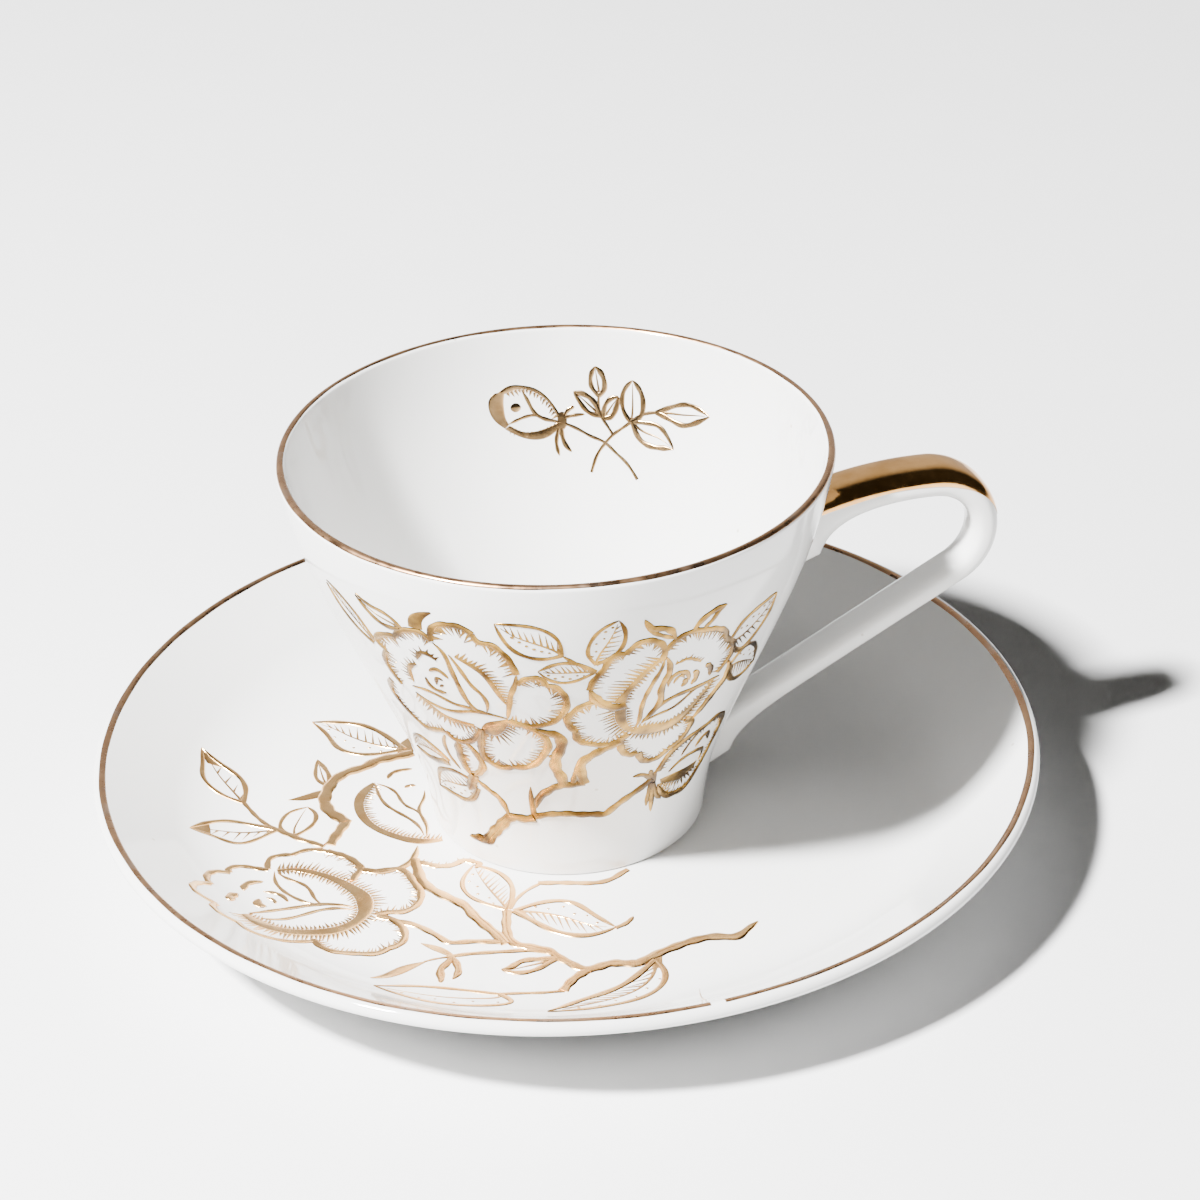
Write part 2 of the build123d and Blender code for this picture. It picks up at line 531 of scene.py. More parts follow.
def settle(piece: bpy.types.Object, body: str, slot: str, *nodes: str) -> None:
    """Rides a piece on a body and hides the CAD nodes that it stands for.

    Args:
        piece: the object.
        body: the body that it rides on.
        slot: its material slot's name, which is not used.
        nodes: names of the CAD nodes that it replaces.
    """
    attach(piece, body)
    if nodes:
        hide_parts(*nodes)


# ---- Grounds: surfaces that gold is printed on -----------------------------------------------------


class Ground(ABC):
    """A glazed surface with two coordinates, on which gold is laid."""

    @abstractmethod
    def scale(self, spots: np.ndarray) -> np.ndarray:
        """Millimetres to one unit of each coordinate, at each spot."""

    @abstractmethod
    def place(self, spots: np.ndarray, lift: np.ndarray) -> np.ndarray:
        """Points in space at the spots, lifted off the glaze."""


@dataclass
class TurnedWall(Ground):
    """A wall of revolution with coordinates (degrees round, height above the well).

    The point at (a, h) is (r(h) cos a, r(h) sin a, h), moved by the lift along the wall's normal.
    """

    profile: np.ndarray
    facing: int = 1

    def __post_init__(self) -> None:
        """Works out the wall's lean along its height."""
        self.slope = np.gradient(self.profile[:, 0], self.profile[:, 1])

    def scale(self, spots: np.ndarray) -> np.ndarray:
        """Millimetres to a degree round and to a millimetre of height.

        Args:
            spots: places in the ground's two coordinates.

        Returns:
            Two factors to each spot.
        """
        radius = np.interp(spots[..., 1], self.profile[:, 1], self.profile[:, 0])
        slope = np.interp(spots[..., 1], self.profile[:, 1], self.slope)
        return np.stack([np.radians(radius), np.hypot(1, slope)], axis=-1)

    def place(self, spots: np.ndarray, lift: np.ndarray) -> np.ndarray:
        """Points in space at the spots, lifted off the glaze.

        Args:
            spots: places in the ground's two coordinates.
            lift: how far each is off the glaze, in millimetres.

        Returns:
            Points (x, y, z) in millimetres.
        """
        turn, height = np.radians(spots[..., 0]), spots[..., 1]
        radius = np.interp(height, self.profile[:, 1], self.profile[:, 0])
        slope = np.interp(height, self.profile[:, 1], self.slope)
        out = radius + self.facing * lift / np.hypot(1, slope)
        up = height + WELL - self.facing * lift * slope / np.hypot(1, slope)
        return np.stack([out * np.cos(turn), out * np.sin(turn), up], axis=-1)


@dataclass
class DishTop(Ground):
    """The saucer's upper surface with coordinates (x, y).

    The point at (x, y) is at the height z(r) of the dish's profile, moved by the lift along its normal.
    """

    profile: np.ndarray

    def __post_init__(self) -> None:
        """Works out the dish's slope along its radius."""
        self.slope = np.gradient(self.profile[:, 1], self.profile[:, 0])

    def scale(self, spots: np.ndarray) -> np.ndarray:
        """One millimetre to a unit both ways, as most of the dish is flat."""
        return np.ones_like(spots)

    def place(self, spots: np.ndarray, lift: np.ndarray) -> np.ndarray:
        """Points in space at the spots, lifted off the glaze.

        Args:
            spots: places in the ground's two coordinates.
            lift: how far each is off the glaze, in millimetres.

        Returns:
            Points (x, y, z) in millimetres.
        """
        radius = np.hypot(spots[..., 0], spots[..., 1])
        height = np.interp(radius, self.profile[:, 0], self.profile[:, 1])
        slope = np.interp(radius, self.profile[:, 0], self.slope)
        tilt = np.hypot(1, slope)
        pull = 1 - lift * slope / tilt / np.maximum(radius, 1.0)
        return np.stack([spots[..., 0] * pull, spots[..., 1] * pull, height + lift / tilt], axis=-1)


# ---- Gold bands on round edges ---------------------------------------------------------------------


def wander(turn: np.ndarray, waves: tuple[Wave, ...]) -> np.ndarray:
    """Sum of sines a sin(n t + p) over turns t, one for each wave (a, n, p)."""
    return sum(size * np.sin(times * turn + phase) for size, times, phase in waves)


def edge_band(
    centre: tuple[float, float],
    half: float,
    rise: float,
    turn: np.ndarray,
    angle: np.ndarray,
    closed: bool,
) -> Skin:
    """A thin gold band on a round edge, carried round the axis.

    The band's top at the share s of its width is rise * sqrt(4 s (1 - s)) above the edge.

    Args:
        centre: centre of the round edge, as (radius, height).
        half: the round edge's radius.
        rise: the band's height.
        turn: places round the axis in radians.
        angle: section angles in radians, one row to a place.
        closed: whether the band runs into itself.

    Returns:
        The band's vertices and faces.
    """
    across = np.linspace(0, 1, angle.shape[1])
    outer = half + rise * np.sqrt(np.clip(4 * across * (1 - across), 0.05, 1))
    angles = np.concatenate([angle, angle[:, ::-1]], axis=1)
    reach = np.concatenate([outer, np.full(len(across), half - BAND_SINK)])
    radius = centre[0] + reach * np.cos(angles)
    height = centre[1] + reach * np.sin(angles)
    rings = np.stack([radius * np.cos(turn)[:, None], radius * np.sin(turn)[:, None], height], axis=-1)
    skin = Skin()
    skin.add_loops(rings[None], closed)
    return skin


# ---- Saucer ----------------------------------------------------------------------------------------


@dataclass
class Saucer:
    """Shallow dish with a foot ring, an upturned rim and a gold line on the rim's round edge."""

    radius: float = 76.0
    wall: float = 2.5
    well_radius: float = 50.0
    rim_arc: float = 23.0
    rim_slope: float = 37.0
    ring_radius: float = 41.0
    ring_width: float = 3.2
    ring_round: float = 0.6
    gilding: float = 0.08
    band: tuple[float, float] = (75.0, 127.0)
    band_shift: float = 2.0
    band_span: tuple[float, float] = (-83.4, 274.9)
    band_waves: tuple[Wave, ...] = ((2.5, 5, 0), (2.0, 13, 1), (1.2, 37, 2))
    segments: int = 360

    def __post_init__(self) -> None:
        """Works out the rim's round edge from the driving sizes."""
        slope = math.radians(self.rim_slope)
        self.turn = (self.well_radius, WELL + self.rim_arc)
        self.turn_end = arc(self.turn, self.rim_arc, self.rim_slope - 90, self.rim_slope - 90, 1)[0]
        half = self.wall / 2
        edge = self.radius - half - half * math.sin(slope)
        run = edge - self.turn_end[0]
        self.edge_centre = (
            edge + half * math.sin(slope),
            self.turn_end[1] + run * math.tan(slope) - half * math.cos(slope),
        )

    def top(self) -> np.ndarray:
        """Upper profile (radius, height) from the axis to the rim's edge.

        Returns:
            Profile points, shape (points, 2).
        """
        well = np.stack([np.linspace(0, self.well_radius, 40)[:-1], np.full(39, WELL)], axis=1)
        turn = arc(self.turn, self.rim_arc, -90, self.rim_slope - 90, 40)
        edge = arc(self.edge_centre, self.wall / 2, self.rim_slope + 90, self.rim_slope + 90, 1)[0]
        rim = turn[-1] + np.linspace(0, 1, 24)[1:, None] * (edge - turn[-1])
        return np.concatenate([well, turn, rim])

    def dish(self, finish: bpy.types.Material) -> bpy.types.Object:
        """Turns the dish: its top, round edge, underside and foot ring.

        Args:
            finish: the material.

        Returns:
            The new object.
        """
        half, under = self.wall / 2, WELL - self.wall
        inner, corner = self.ring_radius - self.ring_width, self.ring_round
        edge = arc(self.edge_centre, half, self.rim_slope + 90, self.rim_slope - 90, 28)[1:]
        turn = arc(self.turn, self.rim_arc + self.wall, self.rim_slope - 90, -90, 40)
        inward = np.linspace(self.well_radius, self.ring_radius, 6)[1:]
        flat = np.stack([inward, np.full(5, under)], axis=1)
        outer = arc((self.ring_radius - corner, corner), corner, 0, -90, 8)
        inside = arc((inner + corner, corner), corner, -90, -180, 8)
        back = np.stack([np.linspace(inner, 0, 20), np.full(20, under)], axis=1)
        skin = Skin()
        profile = np.concatenate([self.top(), edge, turn, flat, outer, inside, back])
        skin.add_turned(profile, self.segments)
        piece = skin.make("saucer_porcelain", finish, 55)
        settle(piece, "saucer", "porcelain", "saucer_dish")
        return piece

    def rim_line(self, finish: bpy.types.Material) -> bpy.types.Object:
        """Carries the gold line round the rim, uneven in width and broken at the crack.

        Args:
            finish: the material.

        Returns:
            The new object.
        """
        turn = np.radians(np.linspace(*self.band_span, 900))
        sway = wander(turn, self.band_waves)
        low = np.radians(self.band[0] + self.band_shift + sway)[:, None]
        high = np.radians(self.band[1] + self.band_shift - np.roll(sway, 90))[:, None]
        angle = low + (high - low) * np.linspace(0, 1, 9)
        skin = edge_band(self.edge_centre, self.wall / 2, self.gilding * 0.9, turn, angle, False)
        piece = skin.make("saucer_gold_line", finish)
        settle(piece, "saucer", "gilding", "saucer_rim_gilding")
        return piece


# ---- Cup -------------------------------------------------------------------------------------------


@dataclass
class Bowl:
    """Slender cone with a steep foot, a thin round lip and a gold line on the lip."""

    height: float = 65.0
    lip_radius: float = 43.0
    lip_wall: float = 1.5
    lip_lean: float = 11.0
    foot_radius: float = 22.1
    foot_lean: float = 6.0
    foot_width: float = 2.4
    foot_round: float = 0.5
    recess: float = 1.6
    floor: float = 3.2
    bottom_flat: float = 11.0
    gilding: float = 0.08
    outside: Points = ((23.0, 7.0), (24.9, 14.0), (28.8, 24.0), (35.6, 40.0), (40.9, 55.0))
    inside: Points = ((20.5, 10.5), (23.4, 16.0), (26.8, 24.0), (33.8, 40.0), (39.3, 55.0))
    band_inset: tuple[float, float] = (42.0, 44.0)
    band_waves: tuple[Wave, ...] = ((4.0, 3, 0), (2.5, 11, 1), (1.5, 29, 2))
    segments: int = 320

    def __post_init__(self) -> None:
        """Works out the lip's centre and both wall profiles, from the foot up."""
        half = self.lip_wall / 2
        self.lip = (self.lip_radius - self.gilding - half, self.height - self.gilding - half)
        outer = tuple(arc(self.lip, half, -self.lip_lean, -self.lip_lean, 1)[0])
        inner = tuple(arc(self.lip, half, 180 - self.lip_lean, 180 - self.lip_lean, 1)[0])
        upright = 90 - self.lip_lean
        foot = (self.foot_radius, 0.0)
        bottom = (self.bottom_flat, self.recess + self.floor)
        self.outer_wall = spline((foot, *self.outside, outer), 120, 90 - self.foot_lean, upright)
        self.inner_wall = spline((bottom, *self.inside, inner), 120, 0, upright)

    def lifted(self, profile: np.ndarray) -> np.ndarray:
        """A profile moved up from the well."""
        return profile + (0, WELL)

    def shell(self, finish: bpy.types.Material) -> bpy.types.Object:
        """Turns the bowl: inner bottom and wall, lip, outer wall, foot and the recess under it.

        Args:
            finish: the material.

        Returns:
            The new object.
        """
        corner, narrow = self.foot_round, self.foot_radius - self.foot_width
        outward = np.linspace(0, self.bottom_flat, 8)[:-1]
        bottom = np.stack([outward, np.full(7, self.inner_wall[0, 1])], axis=1)
        lip = arc(self.lip, self.lip_wall / 2, 180 - self.lip_lean, -self.lip_lean, 24)[1:-1]
        wall = self.outer_wall[::-1]
        wall = wall[wall[:, 1] > corner * 1.2]
        outer = arc((self.foot_radius - corner, corner), corner, 0, -90, 8)
        inner = arc((narrow + corner, corner), corner, -90, -180, 8)
        under = np.stack([np.linspace(narrow, 0, 10), np.full(10, self.recess)], axis=1)
        profile = np.concatenate([bottom, self.inner_wall, lip, wall, outer, inner, under])
        skin = Skin()
        skin.add_turned(self.lifted(profile), self.segments)
        piece = skin.make("cup_porcelain", finish, 55)
        settle(piece, "cup", "porcelain", "cup_bowl")
        return piece

    def lip_line(self, finish: bpy.types.Material) -> bpy.types.Object:
        """Carries the gold line round the lip, with edges that wander.

        Args:
            finish: the material.

        Returns:
            The new object.
        """
        turn = 2 * np.pi * np.arange(720) / 720
        sway = wander(turn, self.band_waves)
        low = np.radians(-self.lip_lean + self.band_inset[0] + sway)[:, None]
        high = np.radians(180 - self.lip_lean - self.band_inset[1] - np.roll(sway, 200))[:, None]
        angle = low + (high - low) * np.linspace(0, 1, 13)
        centre = (self.lip[0], self.lip[1] + WELL)
        skin = edge_band(centre, self.lip_wall / 2, self.gilding, turn, angle, True)
        piece = skin.make("cup_gold_line", finish)
        settle(piece, "cup", "gilding", "cup_lip_gilding")
        return piece


@dataclass
class Handle:
    """Strap handle: a level arm, a round elbow and a straight arm that slants back to the wall."""

    bowl: Bowl
    start: tuple[float, float] = (35.5, 47.0)
    crown_radius: float = 56.0
    rise: float = 24.0
    fall: float = 1.5
    elbow_radius: float = 9.2
    slant: float = 30.5
    slant_length: float = 50.5
    crown_section: tuple[float, float] = (8.8, 5.2)
    slant_section: tuple[float, float] = (6.9, 4.1)
    roundness: float = 2.7
    stations: tuple[int, int, int] = (50, 56, 70)
    ring: int = 48
    root_swell: tuple[float, float] = (0.5, 0.3)
    root_reach: float = 2.2
    root_flare: float = 3.4
    flare_reach: tuple[float, float] = (4.0, 3.0)
    root_depth: float = 0.5
    gold_low: float = 3.0
    gold_turn: float = 82.0
    gold_climb: float = 80.0
    gold_flat: int = 4
    gold_layer: tuple[float, float] = (0.07, -0.04)

    def line(self) -> tuple[np.ndarray, np.ndarray, np.ndarray]:
        """Centre line in the handle's own plane.

        Returns:
            Points (x, height), directions in radians above level and the share of the way from the level
            arm's section to the slanting arm's, each with one entry to a station.
        """
        rise, fall = math.radians(self.rise), math.radians(self.fall)
        level = np.linspace(rise, -fall, self.stations[0])
        hub = np.array(self.start) + self.crown_radius * np.array([math.sin(rise), -math.cos(rise)])
        crown = hub + self.crown_radius * np.stack([-np.sin(level), np.cos(level)], axis=1)
        elbow_hub = crown[-1] + self.elbow_radius * np.array([-math.sin(fall), -math.cos(fall)])
        bend = np.linspace(-fall, math.radians(self.slant) - math.pi, self.stations[1])[1:]
        elbow = elbow_hub + self.elbow_radius * np.stack([-np.sin(bend), np.cos(bend)], axis=1)
        along = np.linspace(0, self.slant_length, self.stations[2])[1:, None]
        straight = elbow[-1] + along * np.array([math.cos(bend[-1]), math.sin(bend[-1])])
        share = np.concatenate([np.zeros(len(level)), np.linspace(0, 1, len(bend)),
                                np.ones(len(along))])
        headings = np.concatenate([level, bend, np.full(len(along), bend[-1])])
        return np.concatenate([crown, elbow, straight]), headings, share

    def surface(self, around: np.ndarray, growth: float | np.ndarray = 0.0) -> np.ndarray:
        """Points of the strap's surface at angles round its section, for every station.

        The section is a superellipse: across = w/2 sgn(cos t)|cos t|^(2/p) and up the same with h and sin t.
        Near each root it swells with exp(-d/L), d being the distance from the wall, and most on the inner
        side, towards the other arm.

        Args:
            around: section angles in radians, one row to a station or one row for all.
            growth: how far the surface is moved out, in millimetres.

        Returns:
            Array (stations, angles, 3).
        """
        middle, heading, share = self.line()
        wide = self.crown_section[0] + (self.slant_section[0] - self.crown_section[0]) * share
        thick = self.crown_section[1] + (self.slant_section[1] - self.crown_section[1]) * share
        wall = np.interp(middle[:, 1], self.bowl.outer_wall[:, 1], self.bowl.outer_wall[:, 0])
        off = np.maximum(middle[:, 0] - wall, 0)
        swell = np.exp(-off / self.root_reach)
        upper = np.arange(len(middle)) < sum(self.stations[:2])
        above, below = (np.exp(-off / reach) for reach in self.flare_reach)
        web = np.where(upper, above * self.root_flare * 1.5, below * self.root_flare)
        power = 2 / self.roundness
        side = np.sign(np.cos(around)) * np.abs(np.cos(around)) ** power
        rise = np.sign(np.sin(around)) * np.abs(np.sin(around)) ** power
        across = side * (wide / 2 + growth + self.root_swell[0] * swell)[:, None]
        drop = np.where(upper, 1.0, -1.0)[:, None]
        under = np.where(rise * drop < 0, 1.0, 0.0) * web[:, None] * np.abs(rise)
        up = rise * (thick / 2 + growth + self.root_swell[1] * swell)[:, None] - drop * under
        out = middle[:, 0][:, None] - np.sin(heading)[:, None] * up
        height = middle[:, 1][:, None] + np.cos(heading)[:, None] * up
        points = np.stack([out, np.broadcast_to(across, out.shape), height], axis=-1)
        return self.kept_outside(points)

    def kept_outside(self, points: np.ndarray) -> np.ndarray:
        """Moves points that are too deep in the bowl's wall outwards, and every point up to the well.

        Args:
            points: points (x, y, height above the well).

        Returns:
            The points (x, y, z).
        """
        reach = np.hypot(points[..., 0], points[..., 1])
        profile = self.bowl.outer_wall
        wall = np.interp(points[..., 2], profile[:, 1], profile[:, 0]) - self.root_depth
        points[..., :2] *= np.maximum(wall / reach, 1.0)[..., None]
        return points + (0, 0, WELL)

    def strap(self, finish: bpy.types.Material) -> bpy.types.Object:
        """The porcelain strap, closed at both ends inside the wall.

        Args:
            finish: the material.

        Returns:
            The new object.
        """
        around = np.linspace(0, 2 * np.pi, self.ring, endpoint=False)[None]
        skin = Skin()
        skin.add_loops(self.surface(around)[None], False)
        piece = skin.make("cup_handle_porcelain", finish, 60)
        settle(piece, "cup", "porcelain", "cup_handle")
        return piece

    def gold(self, finish: bpy.types.Material) -> bpy.types.Object:
        """The gold over the level arm's top and flanks and the elbow's first part, ending at a slant.

        Args:
            finish: the material.

        Returns:
            The new object.
        """
        count = self.stations[0] + int(self.stations[1] * self.gold_turn / (180 - self.slant - self.fall))
        across = np.linspace(0, 1, 41)
        station = np.arange(len(self.line()[0]))[:, None]
        flat = self.stations[0] + self.gold_flat
        climb = np.clip((station - flat) / (count - flat), 0, 1) ** 2
        sway = 1.5 * np.sin(station * 0.21) * (1 - climb)
        low = np.radians(self.gold_low + self.gold_climb * climb + sway)
        over = low + (np.pi - 2 * low) * across
        outer = self.surface(over, self.gold_layer[0])[:count]
        inner = self.surface(over[:, ::-1], self.gold_layer[1])[:count]
        skin = Skin()
        skin.add_loops(np.concatenate([outer, inner], axis=1)[None], False)
        piece = skin.make("cup_handle_gold", finish, 60)
        settle(piece, "cup", "gilding", "handle_gilding")
        return piece


# ---- Table, light and camera -----------------------------------------------------------------------


@dataclass
class Studio:
    """Pale table, one high key light from the left, a pale card in a dim room, and the camera."""

    camera_spot: tuple[float, float, float] = (-76.6, -434.6, 304.5)
    camera_heading: float = 10.792
    camera_pitch: float = 30.724
    camera_roll: float = -1.693
    lens: float = 97.68
    key_side: tuple[float, float, float] = (-0.72, -0.32, 1.0)
    key_distance: float = 1.25
    key_size: float = 0.11
    key_power: float = 142.0
    aim: float = 0.03
    dim: tuple[float, float, float] = (0.027, 0.026, 0.023)
    card: tuple[float, float, float] = (0.78, 0.78, 0.78)
    card_reach: tuple[float, float] = (0.4, 0.8)

    def table(self) -> None:
        """Lays a flat matt table under the saucer."""
        half = 3.0
        mesh = bpy.data.meshes.new("table")
        corners = [(-half, -half, 0), (half, -half, 0), (half, half, 0), (-half, half, 0)]
        mesh.from_pydata(corners, [], [(0, 1, 2, 3)])
        mesh.materials.append(MattTable().material())
        floor = bpy.data.objects.new("table", mesh)
        bpy.context.scene.collection.objects.link(floor)

    def lamp(
        self, name: str, spot: tuple[float, float, float], size: tuple[float, float], power: float
    ) -> None:
        """Adds an area light that points at the cup.

        Args:
            name: its name.
            spot: its place in metres.
            size: its two sides in metres.
            power: its power in watts.
        """
        data = bpy.data.lights.new(name, "AREA")
        data.shape = "RECTANGLE"
        data.size, data.size_y = size
        data.energy = power
        light = bpy.data.objects.new(name, data)
        away = np.array(spot) - (0, 0, self.aim)
        light.location = spot
        light.rotation_euler = Matrix(self.facing(away)).to_euler()
        bpy.context.scene.collection.objects.link(light)

    @staticmethod
    def facing(away: np.ndarray) -> list:
        """Rotation whose Z axis is along away, with X level.

        Args:
            away: the direction.

        Returns:
            Rows of a 3 by 3 rotation matrix.
        """
        z = away / np.linalg.norm(away)
        x = np.cross((0, 0, 1), z)
        x /= np.linalg.norm(x)
        return np.stack([x, np.cross(z, x), z], axis=1).tolist()

    def lights(self) -> None:
        """Hangs the key light in a dim room with a pale card towards +Y that only gloss picks up."""
        side = np.array(self.key_side) / np.linalg.norm(self.key_side)
        self.lamp("key", tuple(side * self.key_distance),
                  (self.key_size, self.key_size), self.key_power)
        world = bpy.data.worlds.new("studio")
        world.use_nodes = True
        tree = world.node_tree
        toward = tree.nodes.new("ShaderNodeSeparateXYZ")
        tree.links.new(tree.nodes.new("ShaderNodeTexCoord").outputs["Generated"], toward.inputs[0])
        share = tree.nodes.new("ShaderNodeMapRange")
        share.interpolation_type = "SMOOTHSTEP"
        share.inputs["From Min"].default_value, share.inputs["From Max"].default_value = self.card_reach
        tree.links.new(toward.outputs["Y"], share.inputs["Value"])
        mirrored = tree.nodes.new("ShaderNodeMath")
        mirrored.operation = "MULTIPLY"
        tree.links.new(share.outputs["Result"], mirrored.inputs[0])
        tree.links.new(tree.nodes.new("ShaderNodeLightPath").outputs["Is Glossy Ray"], mirrored.inputs[1])
        tint = tree.nodes.new("ShaderNodeMix")
        tint.data_type = "RGBA"
        tint.inputs[6].default_value, tint.inputs[7].default_value = (*self.dim, 1), (*self.card, 1)
        tree.links.new(mirrored.outputs[0], tint.inputs["Factor"])
        tree.links.new(tint.outputs[2], tree.nodes["Background"].inputs["Color"])
        bpy.context.scene.world = world

    def camera(self) -> None:
        """Places the camera: heading clockwise from +Y, pitch down and roll, in degrees."""
        angles = (self.camera_heading, self.camera_pitch, self.camera_roll)
        turn, pitch, roll = (math.radians(angle) for angle in angles)
        level = math.cos(pitch)
        ahead = np.array([math.sin(turn) * level, math.cos(turn) * level, -math.sin(pitch)])
        right = np.array([math.cos(turn), -math.sin(turn), 0])
        up = np.cross(right, ahead)
        rolled = math.cos(roll) * right + math.sin(roll) * up
        upper = math.cos(roll) * up - math.sin(roll) * right
        data = bpy.data.cameras.new("camera")
        data.lens, data.sensor_width = self.lens, 36.0
        data.clip_start = 0.01
        camera = bpy.data.objects.new("camera", data)
        camera.location = np.array(self.camera_spot) * MM
        camera.rotation_euler = Matrix(np.stack([rolled, upper, -ahead], axis=1).tolist()).to_euler()
        bpy.context.scene.collection.objects.link(camera)
        bpy.context.scene.camera = camera


# ---- Gold prints: strokes, plates, dots and leaves -------------------------------------------------


def relief(
    ground: Ground, left: np.ndarray, right: np.ndarray, height: float, across: int = 7
) -> np.ndarray:
    """Closed low ridges of gold between pairs of edges.

    The ridge's top at the share s from one edge to the other is lifted by height * sqrt(4 s (1 - s)),
    and its edges
    are sunk slightly below the glaze.

    Args:
        ground: the surface that the gold lies on.
        left: first edges, shape (ridges, stations, 2).
        right: second edges, of the same shape.
        height: the ridge's height in millimetres.
        across: how many points make a section.

    Returns:
        Rings of points, shape (ridges, stations, across, 3).
    """
    share = 0.5 - 0.5 * np.cos(np.linspace(0, np.pi, across))
    lift = height * np.sqrt(np.clip(4 * share * (1 - share), 0, 1))
    lift[[0, -1]] = -PRINT_SINK
    spots = left[..., None, :] + (right - left)[..., None, :] * share[:, None]
    return ground.place(spots, np.broadcast_to(lift, spots.shape[:-1]))


def beside(ground: Ground, line: np.ndarray, width: np.ndarray) -> tuple[np.ndarray, np.ndarray]:
    """Both edges of a line on a ground, half a width to each side, square to it in true millimetres.

    Args:
        ground: the surface that the line lies on.
        line: points of the line on the ground.
        width: width at each point, in millimetres.

    Returns:
        The left and the right edge.
    """
    scale = ground.scale(line)
    ahead = np.gradient(line, axis=-2) * scale
    ahead /= np.linalg.norm(ahead, axis=-1, keepdims=True) + 1e-9
    aside = np.stack([-ahead[..., 1], ahead[..., 0]], axis=-1) * width[..., None] / 2 / scale
    return line + aside, line - aside


@dataclass(frozen=True)
class Stroke:
    """A brush stroke of gold, with comb teeth on its left where reach is positive or on its right."""

    points: Points
    width: float = 0.6
    taper: Taper = Taper.BOTH
    reach: float = 0.0

    def line(self) -> np.ndarray:
        """The stroke's centre line."""
        return spline(self.points, 8 + 6 * len(self.points))

    def lay(self, skin: Skin, ground: Ground, chance: np.random.Generator) -> None:
        """Adds the stroke and its teeth: its width sways as a sine, and ends run out as a square root.

        Args:
            skin: the shape that takes them in.
            ground: the surface that they lie on.
            chance: source of the unevenness.
        """
        line = self.line()
        share = np.linspace(0, 1, len(line))
        ends = np.ones(len(line))
        if self.taper in (Taper.START, Taper.BOTH):
            ends *= np.sqrt(np.clip(share / TAPER_SHARE, 0, 1))
        if self.taper in (Taper.END, Taper.BOTH):
            ends *= np.sqrt(np.clip((1 - share) / TAPER_SHARE, 0, 1))
        sway = 1 + STROKE_SWAY * np.sin(share * len(self.points) * 4.1 + chance.uniform(0, 6))
        width = np.maximum(BOLDNESS * self.width * ends * sway, LEAST_WIDTH)
        left, right = beside(ground, line, width)
        rise = STROKE_RISE[0] + STROKE_RISE[1] * self.width
        skin.add_loops(relief(ground, left[None], right[None], rise), False)
        if self.reach:
            comb(skin, ground, line, self.reach, chance)


@dataclass(frozen=True)
class Plate:
    """Solid gold between two edges that run the same way, with teeth outwards from each."""

    left: Points
    right: Points
    reach: tuple[float, float] = (0.0, 0.0)

    def lay(self, skin: Skin, ground: Ground, chance: np.random.Generator) -> None:
        """Adds the plate and its teeth.

        Args:
            skin: the shape that takes them in.
            ground: the surface that they lie on.
            chance: source of the unevenness.
        """
        count = 10 + 5 * max(len(self.left), len(self.right))
        left, right = spline(self.left, count), spline(self.right, count)
        skin.add_loops(relief(ground, left[None], right[None], PLATE_RISE, 9), False)
        for edge, reach in zip((left, right), self.reach):
            if reach:
                comb(skin, ground, edge, reach, chance)


@dataclass(frozen=True)
class Dots:
    """A row of small round dots along a line."""

    points: Points
    count: int
    radius: float = 0.28

    def lay(self, skin: Skin, ground: Ground, chance: np.random.Generator) -> None:
        """Adds the dots, each a low dome of slightly uneven size.

        Args:
            skin: the shape that takes them in.
            ground: the surface that they lie on.
            chance: source of the unevenness.
        """
        if len(self.points) > 1:
            centres = spline(self.points, self.count)
        else:
            centres = np.asarray(self.points, float)
        scale = ground.scale(centres)[:, None]
        turn = np.radians(np.linspace(172, 8, 7))
        size = self.radius * chance.uniform(0.75, 1.15, (len(centres), 1, 1))
        half = [np.stack([np.cos(turn), sign * np.sin(turn)], axis=1) * size / scale for sign in (1, -1)]
        left, right = (centres[:, None] + side for side in half)
        skin.add_loops(relief(ground, left, right, DOT_RISE, 5), False)


@dataclass(frozen=True)
class Leaf:
    """An outlined leaf with a midrib, hatching on one side of it and dots on the other."""

    left: Points
    right: Points
    hatched: Side = Side.RIGHT
    dotted: Side = Side.NONE
    width: float = 0.5
    ribs: int = 9

    def lay(self, skin: Skin, ground: Ground, chance: np.random.Generator) -> None:
        """Adds both edges, the midrib half way between them, the hatching and the dots.

        Args:
            skin: the shape that takes them in.
            ground: the surface that they lie on.
            chance: source of the unevenness.
        """
        Stroke(self.left, self.width, Taper.END).lay(skin, ground, chance)
        Stroke(self.right, self.width * 1.15, Taper.END).lay(skin, ground, chance)
        count = 60
        sides = {Side.LEFT: spline(self.left, count), Side.RIGHT: spline(self.right, count)}
        middle = (sides[Side.LEFT] + sides[Side.RIGHT]) / 2
        rib = middle[: int(count * 0.9)]
        edges = beside(ground, rib, np.linspace(self.width, LEAST_WIDTH * 2, len(rib)))
        skin.add_loops(relief(ground, edges[0][None], edges[1][None], RIB_RISE), False)
        if self.hatched is not Side.NONE:
            roots = np.linspace(0.1, 0.78, self.ribs) * (count - 1)
            root, tip = roots.astype(int), (roots + 0.1 * count).astype(int)
            share = chance.uniform(*HATCH_REACH, (self.ribs, 1))
            ends = middle[tip] + (sides[self.hatched][tip] - middle[tip]) * share
            spikes(skin, ground, middle[root], ends, HATCH_WIDTH)
        if self.dotted is not Side.NONE:
            places = (np.linspace(0.22, 0.8, LEAF_DOTS) * (count - 1)).astype(int)
            share = np.where(np.arange(LEAF_DOTS) % 2, 0.38, 0.62)[:, None]
            spots = middle[places] + (sides[self.dotted][places] - middle[places]) * share
            for spot in spots:
                Dots(((spot[0], spot[1]),), 1, 0.25).lay(skin, ground, chance)


